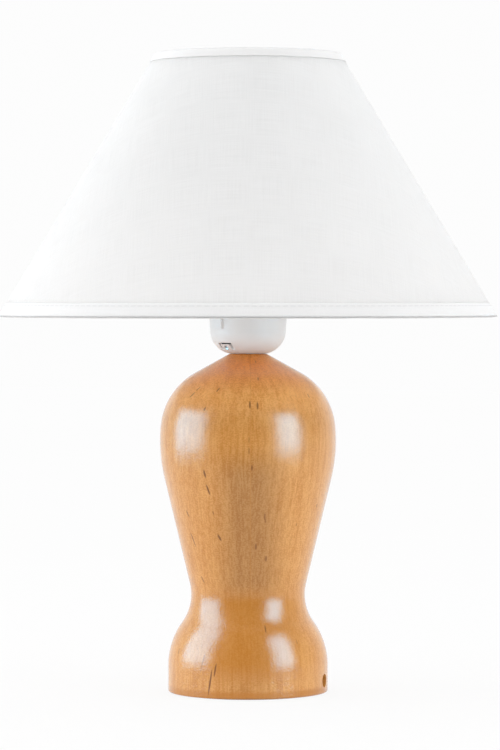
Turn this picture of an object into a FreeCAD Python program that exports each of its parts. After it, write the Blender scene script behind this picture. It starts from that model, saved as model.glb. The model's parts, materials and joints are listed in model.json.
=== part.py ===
import FreeCAD, Part
import math
import operator
import os
import Sketcher
from types import SimpleNamespace

# A bedside lamp: a turned wood base, a plastic lamp holder on a threaded tube, and a
# cone shade that a ring nut clamps on the holder. All lengths are in millimetres.
# +Z points up, the origin is the middle of the foot, and the cord hole points along +X.

Vector = FreeCAD.Vector
Rotation = FreeCAD.Rotation

SIZES = {
    # Felt disc under the base
    "felt_thickness": 2.0,
    "felt_proud": 0.4,
    "felt_gap": 0.3,
    # Turned wood base
    "wood_foot_radius": 43.66,
    "wood_rim_width": 3.36,
    "wood_foot_edge": 1.0,
    "wood_flare_start": 14.8,
    "wood_foot_arc": 40.0,
    "wood_waist_radius": 31.12,
    "wood_waist_arc": 25.9,
    "wood_belly_radius": 48.15,
    "wood_belly_rise": 84.228,
    "wood_belly_arc": 87.1,
    "wood_shoulder_arc": 37.15,
    "wood_top_radius": 10.25,
    "wood_top_rise": 47.3,
    "wood_top_slope": 28.9,
    "recess_radius": 28.0,
    "recess_top": 16.0,
    "cord_hole_radius": 3.65,
    "cord_hole_height": 7.5,
    # Threaded tube with its washer and nut
    "tube_radius": 4.95,
    "tube_wall": 0.95,
    "tube_chamfer": 0.5,
    "tube_tail": 2.0,
    "tube_reach_in_cap": 10.0,
    "tube_gap_in_wood": 0.25,
    "thread_gap": 0.05,
    "thread_root": 0.1,
    "washer_radius": 12.0,
    "washer_thickness": 1.5,
    "washer_gap": 0.35,
    "nut_flats": 14.0,
    "nut_height": 4.0,
    # Dome of the lamp holder
    "cap_height": 19.0,
    "cap_flat_radius": 7.7,
    "cap_corner": 13.0,
    "cap_draft": 0.4,
    "cap_wall": 2.0,
    "cap_boss_height": 12.0,
    "latch_width": 10.5,
    "latch_thickness": 1.0,
    "latch_overlap": 5.0,
    "latch_rise": 2.4,
    "latch_gap": 0.15,
    "latch_azimuth": -37.0,
    "screw_azimuth": -27.3,
    "screw_pocket_width": 9.8,
    "screw_pocket_height": 5.0,
    "screw_pocket_depth": 2.03,
    "screw_block_width": 6.0,
    "screw_block_height": 3.6,
    "screw_height": 3.65,
    "screw_radius": 1.2,
    "screw_tip_gap": 0.05,
    "screw_sunk": 0.6,
    "screw_slot_width": 0.5,
    "screw_slot_depth": 0.6,
    # Terminal block and contacts
    "block_gap_in_cap": 2.0,
    "block_height": 16.5,
    "wire_groove_width": 5.0,
    "wire_groove_depth": 2.5,
    "clamp_edge_distance": 1.4,
    "clamp_length": 5.6,
    "clamp_width": 6.0,
    "clamp_height": 6.5,
    "clamp_gap": 0.2,
    "clamp_wire_radius": 1.3,
    "clamp_sunk": 1.0,
    "terminal_head_radius": 2.4,
    "terminal_head_height": 1.5,
    "terminal_shank_radius": 1.45,
    "terminal_shank_length": 5.0,
    "terminal_slot_width": 0.8,
    "terminal_slot_depth": 0.7,
    "contact_length": 18.0,
    "contact_width": 4.0,
    "contact_thickness": 0.4,
    "contact_rise": 0.4,
    "contact_crest_length": 4.0,
    "contact_ramp_length": 2.0,
    # Screw shell and outer shell of the holder
    "shell_gap": 0.4,
    "shell_wall": 0.7,
    "shell_height": 24.5,
    "skirt_gap": 0.2,
    "skirt_wall": 2.0,
    "skirt_flange_height": 3.5,
    "skirt_lip_clearance": 1.4,
    "skirt_lip_gap": 0.3,
    "skirt_lip_thickness": 1.7,
    "skirt_thread_height": 0.7,
    "skirt_thread_half": 0.9,
    "skirt_thread_pitch": 2.5,
    "skirt_thread_start": 6.0,
    "skirt_thread_end": 2.5,
    # Ring nut that clamps the shade
    "ring_nut_gap": 0.15,
    "ring_nut_rest_gap": 0.1,
    "ring_nut_flange_width": 2.0,
    "ring_nut_flange_height": 2.0,
    "ring_nut_wall": 4.25,
    "ring_nut_height": 7.0,
    "ring_nut_groove_radius": 0.9,
    "ring_nut_groove_count": 24,
    # Flat fitter ring and arms of the shade
    "fitter_gap": 0.4,
    "fitter_width": 6.5,
    "fitter_thickness": 1.5,
    "fitter_rest_gap": 0.1,
    "arm_radius": 1.5,
    "arm_count": 3,
    "arm_first_angle": 90.0,
    "arm_inner_gap": 0.35,
    "arm_weld_gap": 0.05,
    # Cone shade
    "shade_drop": 2.6,
    "shade_height": 144.1,
    "shade_bottom_radius": 136.5,
    "shade_top_radius": 50.5,
    "tape_thickness": 0.35,
    "fabric_thickness": 0.4,
    "tape_gap": 0.05,
    "glue_gap": 0.1,
    "liner_thickness": 0.5,
    "shade_wire_radius": 1.25,
    "shade_fold_gap": 0.08,
    "bottom_hem_width": 9.5,
    "top_hem_width": 5.5,
    "hem_inner_width": 5.0,
    "hem_notch_gap": 0.25,
    # Bulb
    "bulb_gap": 0.3,
    "bulb_contact_radius": 4.6,
    "bulb_contact_height": 1.6,
    "bulb_contact_crown": 0.6,
    "bulb_insulator_gap": 0.05,
    "bulb_insulator_foot": 1.2,
    "bulb_insulator_foot_radius": 5.8,
    "bulb_insulator_height": 7.0,
    "bulb_cap_bottom": 3.4,
    "bulb_cap_top": 26.0,
    "bulb_cap_radius": 12.05,
    "bulb_cap_wall": 0.75,
    "bulb_thread_pitch": 3.629,
    "bulb_thread_height": 1.05,
    "bulb_thread_half": 1.2,
    "bulb_thread_start": 5.8,
    "bulb_thread_end": 5.684,
    "socket_thread_gap": 0.45,
    "socket_thread_lead_turns": 1.5,
    "socket_thread_end": 3.084,
    "housing_neck_length": 8.0,
    "housing_neck_wall": 1.5,
    "housing_bottom_radius": 14.0,
    "housing_rim_radius": 28.0,
    "housing_height": 41.2,
    "housing_wall": 2.0,
    "housing_side_arc": 80.0,
    "led_board_thickness": 1.6,
    "led_board_overlap": 0.5,
    "driver_board_thickness": 1.2,
    "driver_board_gap": 0.75,
    "driver_board_height": 42.0,
    "diffuser_bulge": 2.0,
    "diffuser_wall": 1.2,
}

FULL_TURN = 360.0
HALF_TURN = 180.0
QUARTER_TURN = 90.0
DEGREES_PER_RADIAN = math.degrees(1)
NUT_SIDES = 6
ROUNDED_DIGITS = 12
VOLUME_ERROR_SHARE = 0.001

doc = FreeCAD.newDocument("bedside_lamp")
sheet = doc.addObject("Spreadsheet::Sheet", "Sizes")


class Size:
    """A number, with the formula that leads to it from the sheet's cells."""

    def __init__(self, value, formula):
        self.value = value
        self.formula = formula

    def __add__(self, other):
        return joined(self, "+", other, operator.add)

    def __radd__(self, other):
        return joined(other, "+", self, operator.add)

    def __sub__(self, other):
        return joined(self, "-", other, operator.sub)

    def __rsub__(self, other):
        return joined(other, "-", self, operator.sub)

    def __mul__(self, other):
        return joined(self, "*", other, operator.mul)

    def __rmul__(self, other):
        return joined(other, "*", self, operator.mul)

    def __truediv__(self, other):
        return joined(self, "/", other, operator.truediv)

    def __rtruediv__(self, other):
        return joined(other, "/", self, operator.truediv)

    def __neg__(self):
        return 0 - self


def as_size(amount):
    """The amount as a size, also where it is a plain number."""
    return amount if isinstance(amount, Size) else Size(amount, repr(amount))


def joined(left, sign, right, work):
    """Works out two amounts as one size, in number and in formula."""
    left = as_size(left)
    right = as_size(right)
    return Size(work(left.value, right.value), f"({left.formula} {sign} {right.formula})")


def root(amount):
    """The square root of a size."""
    return Size(math.sqrt(amount.value), f"sqrt({amount.formula})")


def square(amount):
    """A size times itself."""
    return amount * amount


def fill_sheet():
    """Writes each size to a row of its own and gives it back under its name."""
    named = {}
    for row, (name, value) in enumerate(SIZES.items(), start=1):
        sheet.set(f"A{row}", name)
        sheet.set(f"B{row}", str(value))
        sheet.setAlias(f"B{row}", name)
        named[name] = Size(float(value), f"Sizes.{name}")
    doc.recompute()
    return SimpleNamespace(**named)


size = fill_sheet()
parts = []
built = {}


def bind(thing, path, amount):
    """Ties one property of an object to the sheet."""
    thing.setExpression(path, amount.formula)


def keep(thing, name):
    """Counts an object as a sub-part of the lamp, under its node's name."""
    thing.Label = name
    parts.append(thing)
    return thing


def new_body(name):
    """Starts a sub-part that is built up from sketches."""
    return keep(doc.addObject("PartDesign::Body", name), name)


def place(thing, height, turn=None):
    """Seats a sub-part at a height on the axis, turned about the axis."""
    bind(thing, ".Placement.Base.z", height)
    if turn is not None:
        thing.Placement = FreeCAD.Placement(Vector(), Rotation(Vector(0, 0, 1), turn.value))
        bind(thing, ".Placement.Rotation.Angle", turn)


def new_sketch(body, plane, away=None, turn=None):
    """Starts a sketch on one of the body's own planes, away from it or turned about Z."""
    sketch = body.newObject("Sketcher::SketchObject", f"{body.Name}_sketch")
    for feature in body.Origin.OriginFeatures:
        if feature.Role == plane:
            sketch.AttachmentSupport = [(feature, "")]
    sketch.MapMode = "FlatFace"
    if away is not None:
        bind(sketch, ".AttachmentOffset.Base.z", away)
    if turn is not None:
        about_z = Rotation(Vector(0, 1, 0), turn.value)
        sketch.AttachmentOffset = FreeCAD.Placement(Vector(), about_z)
        bind(sketch, ".AttachmentOffset.Rotation.Angle", turn)
    return sketch


def hold(sketch, kind, edge, end, amount):
    """Holds an end of an edge at a bound distance from an axis, or on it for a plain 0."""
    if not isinstance(amount, Size):
        axis = -2 if kind == "DistanceX" else -1
        sketch.addConstraint(Sketcher.Constraint("PointOnObject", edge, end, axis))
        return
    row = sketch.addConstraint(Sketcher.Constraint(kind, -1, 1, edge, end, amount.value))
    bind(sketch, f"Constraints[{row}]", amount)


def arc_between(start, end, radius, side):
    """The arc between two points; its middle lies to the right of the way for side 1."""
    way = end.sub(start)
    half = way.Length / 2
    rise = radius - math.sqrt(max(radius * radius - half * half, 0))
    right = Vector(way.y, -way.x, 0).normalize()
    middle = start.add(way.multiply(0.5)).add(right.multiply(side * rise))
    return Part.Arc(start, middle, end)


def draw(sketch, corners, arcs=None):
    """Draws a closed outline through corners; arcs maps an edge's number to (radius, side)."""
    arcs = arcs or {}
    points = [Vector(as_size(x).value, as_size(y).value, 0) for x, y in corners]
    first = sketch.GeometryCount
    count = len(corners)
    ends = []
    for index in range(count):
        start = points[index]
        end = points[(index + 1) % count]
        if index in arcs:
            radius, side = arcs[index]
            edge = sketch.addGeometry(arc_between(start, end, radius.value, side))
            anticlockwise = side > 0
            ends.append((1, 2) if anticlockwise else (2, 1))
            row = sketch.addConstraint(Sketcher.Constraint("Radius", edge, radius.value))
            bind(sketch, f"Constraints[{row}]", radius)
        else:
            sketch.addGeometry(Part.LineSegment(start, end))
            ends.append((1, 2))
    for index in range(count):
        edge = first + index
        after = first + (index + 1) % count
        after_end = ends[(index + 1) % count][0]
        sketch.addConstraint(
            Sketcher.Constraint("Coincident", edge, ends[index][1], after, after_end))
        hold(sketch, "DistanceX", edge, ends[index][0], corners[index][0])
        hold(sketch, "DistanceY", edge, ends[index][0], corners[index][1])


def draw_box(sketch, width, height, x=0, y=0):
    """Draws a rectangle about a middle point."""
    left = x - width / 2
    right = x + width / 2
    low = y - height / 2
    high = y + height / 2
    draw(sketch, [(left, low), (right, low), (right, high), (left, high)])


def draw_polygon(sketch, flats, sides):
    """Draws a regular polygon about the origin by its width across flats."""
    step = 2 * math.pi / sides
    corner_radius = flats / (2 * math.cos(step / 2))
    corners = []
    for index in range(sides):
        across = round(math.cos(step * index), ROUNDED_DIGITS)
        along = round(math.sin(step * index), ROUNDED_DIGITS)
        corners.append((corner_radius * across, corner_radius * along))
    draw(sketch, corners)


def draw_circle(sketch, radius, x=0, y=0):
    """Draws a circle about a bound centre."""
    centre = Vector(as_size(x).value, as_size(y).value, 0)
    edge = sketch.addGeometry(Part.Circle(centre, Vector(0, 0, 1), radius.value))
    row = sketch.addConstraint(Sketcher.Constraint("Radius", edge, radius.value))
    bind(sketch, f"Constraints[{row}]", radius)
    hold(sketch, "DistanceX", edge, 3, x)
    hold(sketch, "DistanceY", edge, 3, y)


def finish_feature(body, feature, cuts=False):
    """Rebuilds the body and makes sure that the feature changed it the right way."""
    doc.recompute()
    body.Tip = feature
    volume = feature.Shape.Volume
    faces = len(feature.Shape.Faces)
    volume_before, faces_before = built.get(body.Name, (0, 0))
    built[body.Name] = (volume, faces)
    change = volume - volume_before
    wrong_way = (change > 0) == cuts and abs(change) > VOLUME_ERROR_SHARE * volume
    if wrong_way or faces == faces_before:
        raise RuntimeError(f"{feature.Name} changes the volume by {change:.3f}")
    return feature


def turn_sketch(body, sketch, angle=None):
    """Turns a sketch of radii and heights about Z, all round or through an angle."""
    feature = body.newObject("PartDesign::Revolution", f"{body.Name}_turned")
    feature.Profile = sketch
    feature.ReferenceAxis = (sketch, ["V_Axis"])
    if angle is None:
        feature.Angle = FULL_TURN
    else:
        feature.Midplane = True
        bind(feature, "Angle", angle)
    return finish_feature(body, feature)


def turn_outline(body, corners, arcs=None, angle=None, turn=None):
    """Turns an outline through corners of radii and heights."""
    sketch = new_sketch(body, "XZ_Plane", turn=turn)
    draw(sketch, corners, arcs)
    return turn_sketch(body, sketch, angle)


def pad(body, sketch, length, both_ways=False):
    """Thickens a sketch along its normal."""
    feature = body.newObject("PartDesign::Pad", f"{body.Name}_pad")
    feature.Profile = sketch
    feature.SideType = "Symmetric" if both_ways else "One side"
    bind(feature, "Length", length)
    return finish_feature(body, feature)


def pocket(body, sketch, length, forward=False, both_ways=False):
    """Cuts a sketch into the body, against its normal or forward along it."""
    feature = body.newObject("PartDesign::Pocket", f"{body.Name}_pocket")
    feature.Profile = sketch
    feature.Reversed = forward
    feature.SideType = "Symmetric" if both_ways else "One side"
    bind(feature, "Length", length)
    return finish_feature(body, feature, cuts=True)


def repeat_round(body, feature, count):
    """Repeats a feature evenly about the Z axis."""
    pattern = body.newObject("PartDesign::PolarPattern", f"{body.Name}_pattern")
    pattern.Originals = [feature]
    for axis in body.Origin.OriginFeatures:
        if axis.Role == "Z_Axis":
            pattern.Axis = (axis, [""])
    pattern.Angle = FULL_TURN
    bind(pattern, "Occurrences", count)
    return finish_feature(body, pattern, cuts=True)


def wind_thread(body, root_radius, crest_radius, half_height, start, pitch, turns):
    """Winds a right-hand ridge with a round crest from a start height upwards."""
    sketch = new_sketch(body, "XZ_Plane")
    low = start - half_height
    high = start + half_height
    rise = crest_radius - root_radius
    radius = (square(rise) + square(half_height)) / (2 * rise)
    outward = rise.value > 0
    radius = radius if outward else -radius
    side = 1 if outward else -1
    draw(sketch, [(root_radius, low), (root_radius, high)], {0: (radius, side)})
    feature = body.newObject("PartDesign::AdditiveHelix", f"{body.Name}_thread")
    feature.Profile = sketch
    feature.ReferenceAxis = (sketch, ["V_Axis"])
    feature.Mode = "pitch-turns-angle"
    bind(feature, "Pitch", pitch)
    bind(feature, "Turns", turns)
    return finish_feature(body, feature)


def turn_ring(body, inner, outer, low, high):
    """Turns a plain ring."""
    return turn_outline(body, [(inner, low), (outer, low), (outer, high), (inner, high)])


# Height of the wood, from the arcs of its outline.
waist_centre = size.wood_waist_radius + size.wood_waist_arc
foot_centre = size.wood_foot_radius - size.wood_foot_arc
foot_and_waist_arc = size.wood_foot_arc + size.wood_waist_arc
flare_rise = root(square(foot_and_waist_arc) - square(waist_centre - foot_centre))
waist_height = size.wood_flare_start + flare_rise
belly_centre = size.wood_belly_radius - size.wood_belly_arc
belly_height = waist_height + size.wood_belly_rise
wood_top = belly_height + size.wood_top_rise
felt_radius = size.wood_foot_radius - size.wood_rim_width - size.felt_gap

# Radii of the holder's pieces, from the bulb's cap and the dome outwards.
rim_radius = size.cap_flat_radius + size.cap_corner + size.cap_draft
block_radius = size.cap_flat_radius + size.cap_corner - size.cap_wall - size.block_gap_in_cap
latch_inner = rim_radius + size.latch_gap
latch_outer = latch_inner + size.latch_thickness
clamp_offset = block_radius - size.clamp_edge_distance - size.clamp_length / 2
skirt_inner = block_radius + size.skirt_gap
skirt_radius = skirt_inner + size.skirt_wall
bulb_thread_crest = size.bulb_cap_radius + size.bulb_thread_height
shell_inner = bulb_thread_crest + size.shell_gap
socket_thread_crest = size.bulb_cap_radius + size.socket_thread_gap
ring_nut_bore = skirt_radius + size.skirt_thread_height + size.ring_nut_gap
ring_nut_radius = ring_nut_bore + size.ring_nut_wall
fitter_inner = skirt_radius + size.skirt_thread_height + size.fitter_gap
fitter_outer = fitter_inner + size.fitter_width

# Heights at which the pieces of the lamp sit on each other.
washer_bottom = size.recess_top - size.washer_thickness
nut_bottom = washer_bottom - size.nut_height
tube_bottom = nut_bottom - size.tube_tail
tube_top = wood_top + size.tube_reach_in_cap
block_bottom = wood_top + size.cap_boss_height
block_top = block_bottom + size.block_height
skirt_bottom = wood_top + size.cap_height
fitter_bottom = skirt_bottom + size.skirt_flange_height + size.fitter_rest_gap
shade_bottom = fitter_bottom - size.shade_drop
arm_end_height = shade_bottom + size.tape_thickness + size.arm_weld_gap + size.arm_radius
ring_nut_bottom = fitter_bottom + size.fitter_thickness + size.ring_nut_rest_gap
contact_crest = size.contact_rise + size.contact_thickness
bulb_bottom = block_top + contact_crest + size.bulb_gap
tube_thread_bore = size.tube_radius + size.thread_gap


def make_base_felt():
    """Felt disc in the rebate of the foot."""
    body = new_body("base_felt")
    sketch = new_sketch(body, "XY_Plane")
    draw_circle(sketch, felt_radius)
    pad(body, sketch, size.felt_thickness)


def wood_outline_starts():
    """Works out where the arcs of the wood's outline meet, as starts for the sketch."""
    foot = Vector(foot_centre.value, size.wood_flare_start.value, 0)
    waist = Vector(waist_centre.value, waist_height.value, 0)
    belly = Vector(belly_centre.value, belly_height.value, 0)
    flare_end = foot.add(waist.sub(foot).normalize() * size.wood_foot_arc.value)
    waist_to_belly = belly.sub(waist)
    distance = waist_to_belly.Length
    lean = math.acos((size.wood_waist_arc.value + size.wood_belly_arc.value) / distance)
    aim = math.atan2(waist_to_belly.y, waist_to_belly.x) + lean
    normal = Vector(math.cos(aim), math.sin(aim), 0)
    taper_start = waist.add(normal * size.wood_waist_arc.value)
    taper_end = belly.sub(normal * size.wood_belly_arc.value)
    slope = math.radians(size.wood_top_slope.value)
    down = Vector(math.cos(slope), -math.sin(slope), 0)
    inward = Vector(-math.sin(slope), -math.cos(slope), 0)
    corner = Vector(size.wood_top_radius.value, wood_top.value, 0)
    offset = corner.add(inward * size.wood_shoulder_arc.value).sub(belly)
    gap = size.wood_belly_arc.value - size.wood_shoulder_arc.value
    along = offset.dot(down)
    run = math.sqrt(along ** 2 - offset.dot(offset) + gap ** 2) - along
    shoulder = corner.add(inward * size.wood_shoulder_arc.value).add(down * run)
    cone_end = corner.add(down * run)
    outward = shoulder.sub(belly).normalize()
    belly_end = belly.add(outward * size.wood_belly_arc.value)
    return flare_end, taper_start, taper_end, belly_end, cone_end


def wood_edges():
    """The lines and arcs of the wood's outline by name, from the axis round to the top."""
    flare_end, taper_start, taper_end, belly_end, cone_end = wood_outline_starts()
    foot_z = size.felt_proud.value
    foot_r = size.wood_foot_radius.value
    edge = size.wood_foot_edge
    side_start = Vector(foot_r, foot_z + edge.value, 0)
    side_end = Vector(foot_r, size.wood_flare_start.value, 0)
    foot_corner = Vector(foot_r - edge.value, foot_z, 0)
    top_corner = Vector(size.wood_top_radius.value, wood_top.value, 0)
    axis_foot = Vector(0, foot_z, 0)
    axis_top = Vector(0, wood_top.value, 0)
    return {
        "axis": Part.LineSegment(axis_top, axis_foot),
        "foot": Part.LineSegment(axis_foot, foot_corner),
        "edge": arc_between(foot_corner, side_start, edge.value, 1),
        "side": Part.LineSegment(side_start, side_end),
        "flare": arc_between(side_end, flare_end, size.wood_foot_arc.value, 1),
        "waist": arc_between(flare_end, taper_start, size.wood_waist_arc.value, -1),
        "taper": Part.LineSegment(taper_start, taper_end),
        "belly": arc_between(taper_end, belly_end, size.wood_belly_arc.value, 1),
        "shoulder": arc_between(belly_end, cone_end, size.wood_shoulder_arc.value, 1),
        "cone": Part.LineSegment(cone_end, top_corner),
        "top": Part.LineSegment(top_corner, axis_top),
    }


def join_wood_edges(sketch, edges):
    """Joins each edge of the outline to the next, smoothly where the wood is smooth."""
    names = list(edges)
    for name, after in zip(names, names[1:] + names[:1]):
        end = 1 if name == "waist" else 2
        start = 2 if after == "waist" else 1
        smooth = "axis" not in (name, after) and "top" not in (name, after)
        kind = "Tangent" if smooth else "Coincident"
        sketch.addConstraint(Sketcher.Constraint(kind, edges[name], end, edges[after], start))


def make_wood_base():
    """Turned body: foot, waist, taper, belly, shoulder and cone, then its hollows."""
    body = new_body("wood_base")
    sketch = new_sketch(body, "XZ_Plane")
    edges = {name: sketch.addGeometry(shape) for name, shape in wood_edges().items()}
    join_wood_edges(sketch, edges)
    sketch.addConstraint(Sketcher.Constraint("Horizontal", edges["foot"]))
    hold(sketch, "DistanceX", edges["axis"], 1, 0)
    hold(sketch, "DistanceX", edges["axis"], 2, 0)
    hold(sketch, "DistanceY", edges["axis"], 1, wood_top)
    hold(sketch, "DistanceY", edges["axis"], 2, size.felt_proud)
    hold(sketch, "DistanceX", edges["side"], 2, size.wood_foot_radius)
    hold(sketch, "DistanceY", edges["side"], 2, size.wood_flare_start)
    hold(sketch, "DistanceX", edges["waist"], 3, waist_centre)
    hold(sketch, "DistanceX", edges["belly"], 3, belly_centre)
    hold(sketch, "DistanceY", edges["belly"], 3, belly_height)
    hold(sketch, "DistanceX", edges["cone"], 2, size.wood_top_radius)
    hold(sketch, "DistanceY", edges["cone"], 2, wood_top)
    slope = HALF_TURN - size.wood_top_slope
    row = sketch.addConstraint(
        Sketcher.Constraint("Angle", edges["cone"], math.radians(slope.value)))
    bind(sketch, f"Constraints[{row}]", slope)
    radii = {
        "edge": size.wood_foot_edge,
        "flare": size.wood_foot_arc,
        "waist": size.wood_waist_arc,
        "belly": size.wood_belly_arc,
        "shoulder": size.wood_shoulder_arc,
    }
    for name, radius in radii.items():
        row = sketch.addConstraint(Sketcher.Constraint("Radius", edges[name], radius.value))
        bind(sketch, f"Constraints[{row}]", radius)
    turn_sketch(body, sketch)
    cut_wood_hollows(body)


def bore_out(body, radius, low, high):
    """Cuts a round hollow about the axis between two heights."""
    sketch = new_sketch(body, "XY_Plane", away=low)
    draw_circle(sketch, radius)
    pocket(body, sketch, high - low, forward=True)


def cut_wood_hollows(body):
    """Cuts the felt's rebate, the recess, the tube's bore and the cord hole."""
    bore_out(body, felt_radius + size.felt_gap, size.felt_proud, size.felt_thickness)
    bore_out(body, size.recess_radius, size.felt_thickness, size.recess_top)
    bore_out(body, size.tube_radius + size.tube_gap_in_wood, size.recess_top, wood_top)
    sketch = new_sketch(body, "YZ_Plane")
    draw_circle(sketch, size.cord_hole_radius, y=size.cord_hole_height)
    pocket(body, sketch, size.wood_foot_radius + size.wood_foot_edge, forward=True)


def make_threaded_tube():
    """Tube that ties the holder to the wood and carries the wires."""
    body = new_body("threaded_tube")
    chamfer = size.tube_chamfer
    outer = size.tube_radius
    bore = outer - size.tube_wall
    corners = [
        (bore, tube_bottom),
        (outer - chamfer, tube_bottom),
        (outer, tube_bottom + chamfer),
        (outer, tube_top - chamfer),
        (outer - chamfer, tube_top),
        (bore, tube_top),
    ]
    turn_outline(body, corners)


def make_base_washer():
    """Washer against the roof of the recess."""
    body = new_body("base_washer")
    inner = size.tube_radius + size.washer_gap
    turn_ring(body, inner, size.washer_radius, 0, size.washer_thickness)
    place(body, washer_bottom)


def make_base_nut():
    """Hexagon nut under the washer."""
    body = new_body("base_nut")
    sketch = new_sketch(body, "XY_Plane")
    draw_polygon(sketch, size.nut_flats, NUT_SIDES)
    pad(body, sketch, size.nut_height)
    hole = new_sketch(body, "XY_Plane")
    draw_circle(hole, tube_thread_bore)
    pocket(body, hole, size.nut_height, forward=True)
    place(body, nut_bottom)


def make_holder_cap():
    """Dome with a boss for the tube, a latch tab and a pocket round the lock screw."""
    body = new_body("holder_cap")
    flat = size.cap_flat_radius
    corner = size.cap_corner
    wall = size.cap_wall
    rim = rim_radius
    top = size.cap_height
    corners = [
        (tube_thread_bore, 0),
        (flat, 0),
        (flat + corner, corner),
        (rim, top),
        (rim - wall, top),
        (flat + corner - wall, corner),
        (flat, wall),
        (flat, size.cap_boss_height),
        (tube_thread_bore, size.cap_boss_height),
    ]
    turn_outline(body, corners, {1: (corner, 1), 5: (corner - wall, -1)})
    cut_lock_screw_pocket(body)
    add_latch(body)
    place(body, wood_top, size.screw_azimuth - QUARTER_TURN)


# Distance from the axis to the dome's skin at the height of the lock screw.
screw_chord = square(size.cap_corner) - square(size.cap_corner - size.screw_height)
screw_skin = size.cap_flat_radius + root(screw_chord)


def cut_lock_screw_pocket(body):
    """Sinks a pocket round a small block in the dome, with the screw's hole through it."""
    floor = screw_skin - size.screw_pocket_depth
    past_dome = rim_radius - floor
    around = new_sketch(body, "YZ_Plane", away=floor)
    draw_box(around, size.screw_pocket_width, size.screw_pocket_height, y=size.screw_height)
    draw_box(around, size.screw_block_width, size.screw_block_height, y=size.screw_height)
    pocket(body, around, past_dome, forward=True)
    hole = new_sketch(body, "YZ_Plane")
    draw_circle(hole, size.screw_radius + size.thread_gap, y=size.screw_height)
    pocket(body, hole, rim_radius, forward=True)


def add_latch(body):
    """Adds the tab that rises from the dome's rim over the edge of the outer shell."""
    top = size.cap_height
    middle_of_wall = rim_radius - size.cap_wall / 2
    corners = [
        (middle_of_wall, top - size.latch_overlap),
        (latch_outer, top - size.latch_overlap),
        (latch_outer, top + size.latch_rise),
        (latch_inner, top + size.latch_rise),
        (latch_inner, top),
        (middle_of_wall, top),
    ]
    width_angle = size.latch_width / latch_outer * DEGREES_PER_RADIAN
    turn = size.latch_azimuth - size.screw_azimuth
    turn_outline(body, corners, angle=width_angle, turn=turn)


def make_lock_screw():
    """Slotted screw that passes through the dome's block and boss to the tube."""
    body = new_body("lock_screw")
    start = size.tube_radius + size.screw_tip_gap
    end = screw_skin - size.screw_sunk
    shank = new_sketch(body, "YZ_Plane", away=start)
    draw_circle(shank, size.screw_radius)
    pad(body, shank, end - start)
    slot = new_sketch(body, "YZ_Plane", away=end)
    draw_box(slot, 2 * size.screw_radius + size.screw_slot_width, size.screw_slot_width)
    pocket(body, slot, size.screw_slot_depth)
    place(body, wood_top + size.screw_height, size.screw_azimuth - QUARTER_TURN)


def make_terminal_block():
    """Insulating disc with a groove for the wires and two slots for the clamps."""
    body = new_body("terminal_block")
    disc = new_sketch(body, "XY_Plane")
    draw_circle(disc, block_radius)
    pad(body, disc, size.block_height)
    groove = new_sketch(body, "XY_Plane")
    draw_box(groove, 2 * block_radius, size.wire_groove_width)
    pocket(body, groove, size.wire_groove_depth, forward=True)
    length = size.clamp_length + 2 * size.clamp_gap
    width = size.clamp_width + 2 * size.clamp_gap
    for side in (-1, 1):
        slot = new_sketch(body, "XY_Plane")
        draw_box(slot, length, width, x=clamp_offset * side)
        pocket(body, slot, size.clamp_sunk + size.clamp_height, forward=True)
    place(body, block_bottom)


def make_terminal(name, side):
    """Brass clamp in its slot, with a cross hole for the wire and one for the screw."""
    clamp = new_body(f"terminal_clamp_{name}")
    outline = new_sketch(clamp, "XY_Plane")
    offset = clamp_offset * side
    draw_box(outline, size.clamp_length, size.clamp_width, x=offset)
    pad(clamp, outline, size.clamp_height)
    bore = new_sketch(clamp, "XY_Plane")
    draw_circle(bore, size.terminal_shank_radius + size.thread_gap, x=offset)
    pocket(clamp, bore, size.terminal_shank_length + size.thread_gap, forward=True)
    cross = new_sketch(clamp, "XZ_Plane")
    draw_circle(cross, size.clamp_wire_radius, x=offset, y=size.clamp_height / 2)
    pocket(clamp, cross, size.clamp_width, both_ways=True)
    place(clamp, block_bottom + size.clamp_sunk)
    screw = new_body(f"terminal_screw_{name}")
    head = new_sketch(screw, "XY_Plane")
    draw_circle(head, size.terminal_head_radius, x=offset)
    pad(screw, head, size.terminal_head_height)
    shank = new_sketch(screw, "XY_Plane", away=size.terminal_head_height)
    draw_circle(shank, size.terminal_shank_radius, x=offset)
    pad(screw, shank, size.terminal_shank_length)
    slot = new_sketch(screw, "XY_Plane")
    long_way = 2 * size.terminal_head_radius + size.terminal_slot_width
    draw_box(slot, size.terminal_slot_width, long_way, x=offset)
    pocket(screw, slot, size.terminal_slot_depth, forward=True)
    place(screw, block_bottom + size.clamp_sunk - size.terminal_head_height)


def make_centre_contact():
    """Bent strip whose raised middle meets the bulb's tip."""
    body = new_body("centre_contact")
    sketch = new_sketch(body, "XZ_Plane")
    end = size.contact_length / 2
    crest = size.contact_crest_length / 2
    foot = crest + size.contact_ramp_length
    rise = size.contact_rise
    thick = size.contact_thickness
    corners = [
        (-end, 0), (-foot, 0), (-crest, rise), (crest, rise), (foot, 0), (end, 0),
        (end, thick), (foot, thick), (crest, rise + thick),
        (-crest, rise + thick), (-foot, thick), (-end, thick),
    ]
    draw(sketch, corners)
    pad(body, sketch, size.contact_width, both_ways=True)
    place(body, block_top)


def make_screw_shell():
    """Metal shell with the inside thread that the bulb's cap runs in."""
    body = new_body("screw_shell")
    pitch = size.bulb_thread_pitch
    turn_ring(body, shell_inner, shell_inner + size.shell_wall, 0, size.shell_height)
    bulb_start = bulb_bottom + size.bulb_thread_start - block_top
    start = bulb_start - size.socket_thread_lead_turns * pitch
    turns = (size.shell_height - start - size.socket_thread_end) / pitch
    wind_thread(body, shell_inner + size.thread_root, socket_thread_crest,
                size.bulb_thread_half, start, pitch, turns)
    place(body, block_top)


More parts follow.
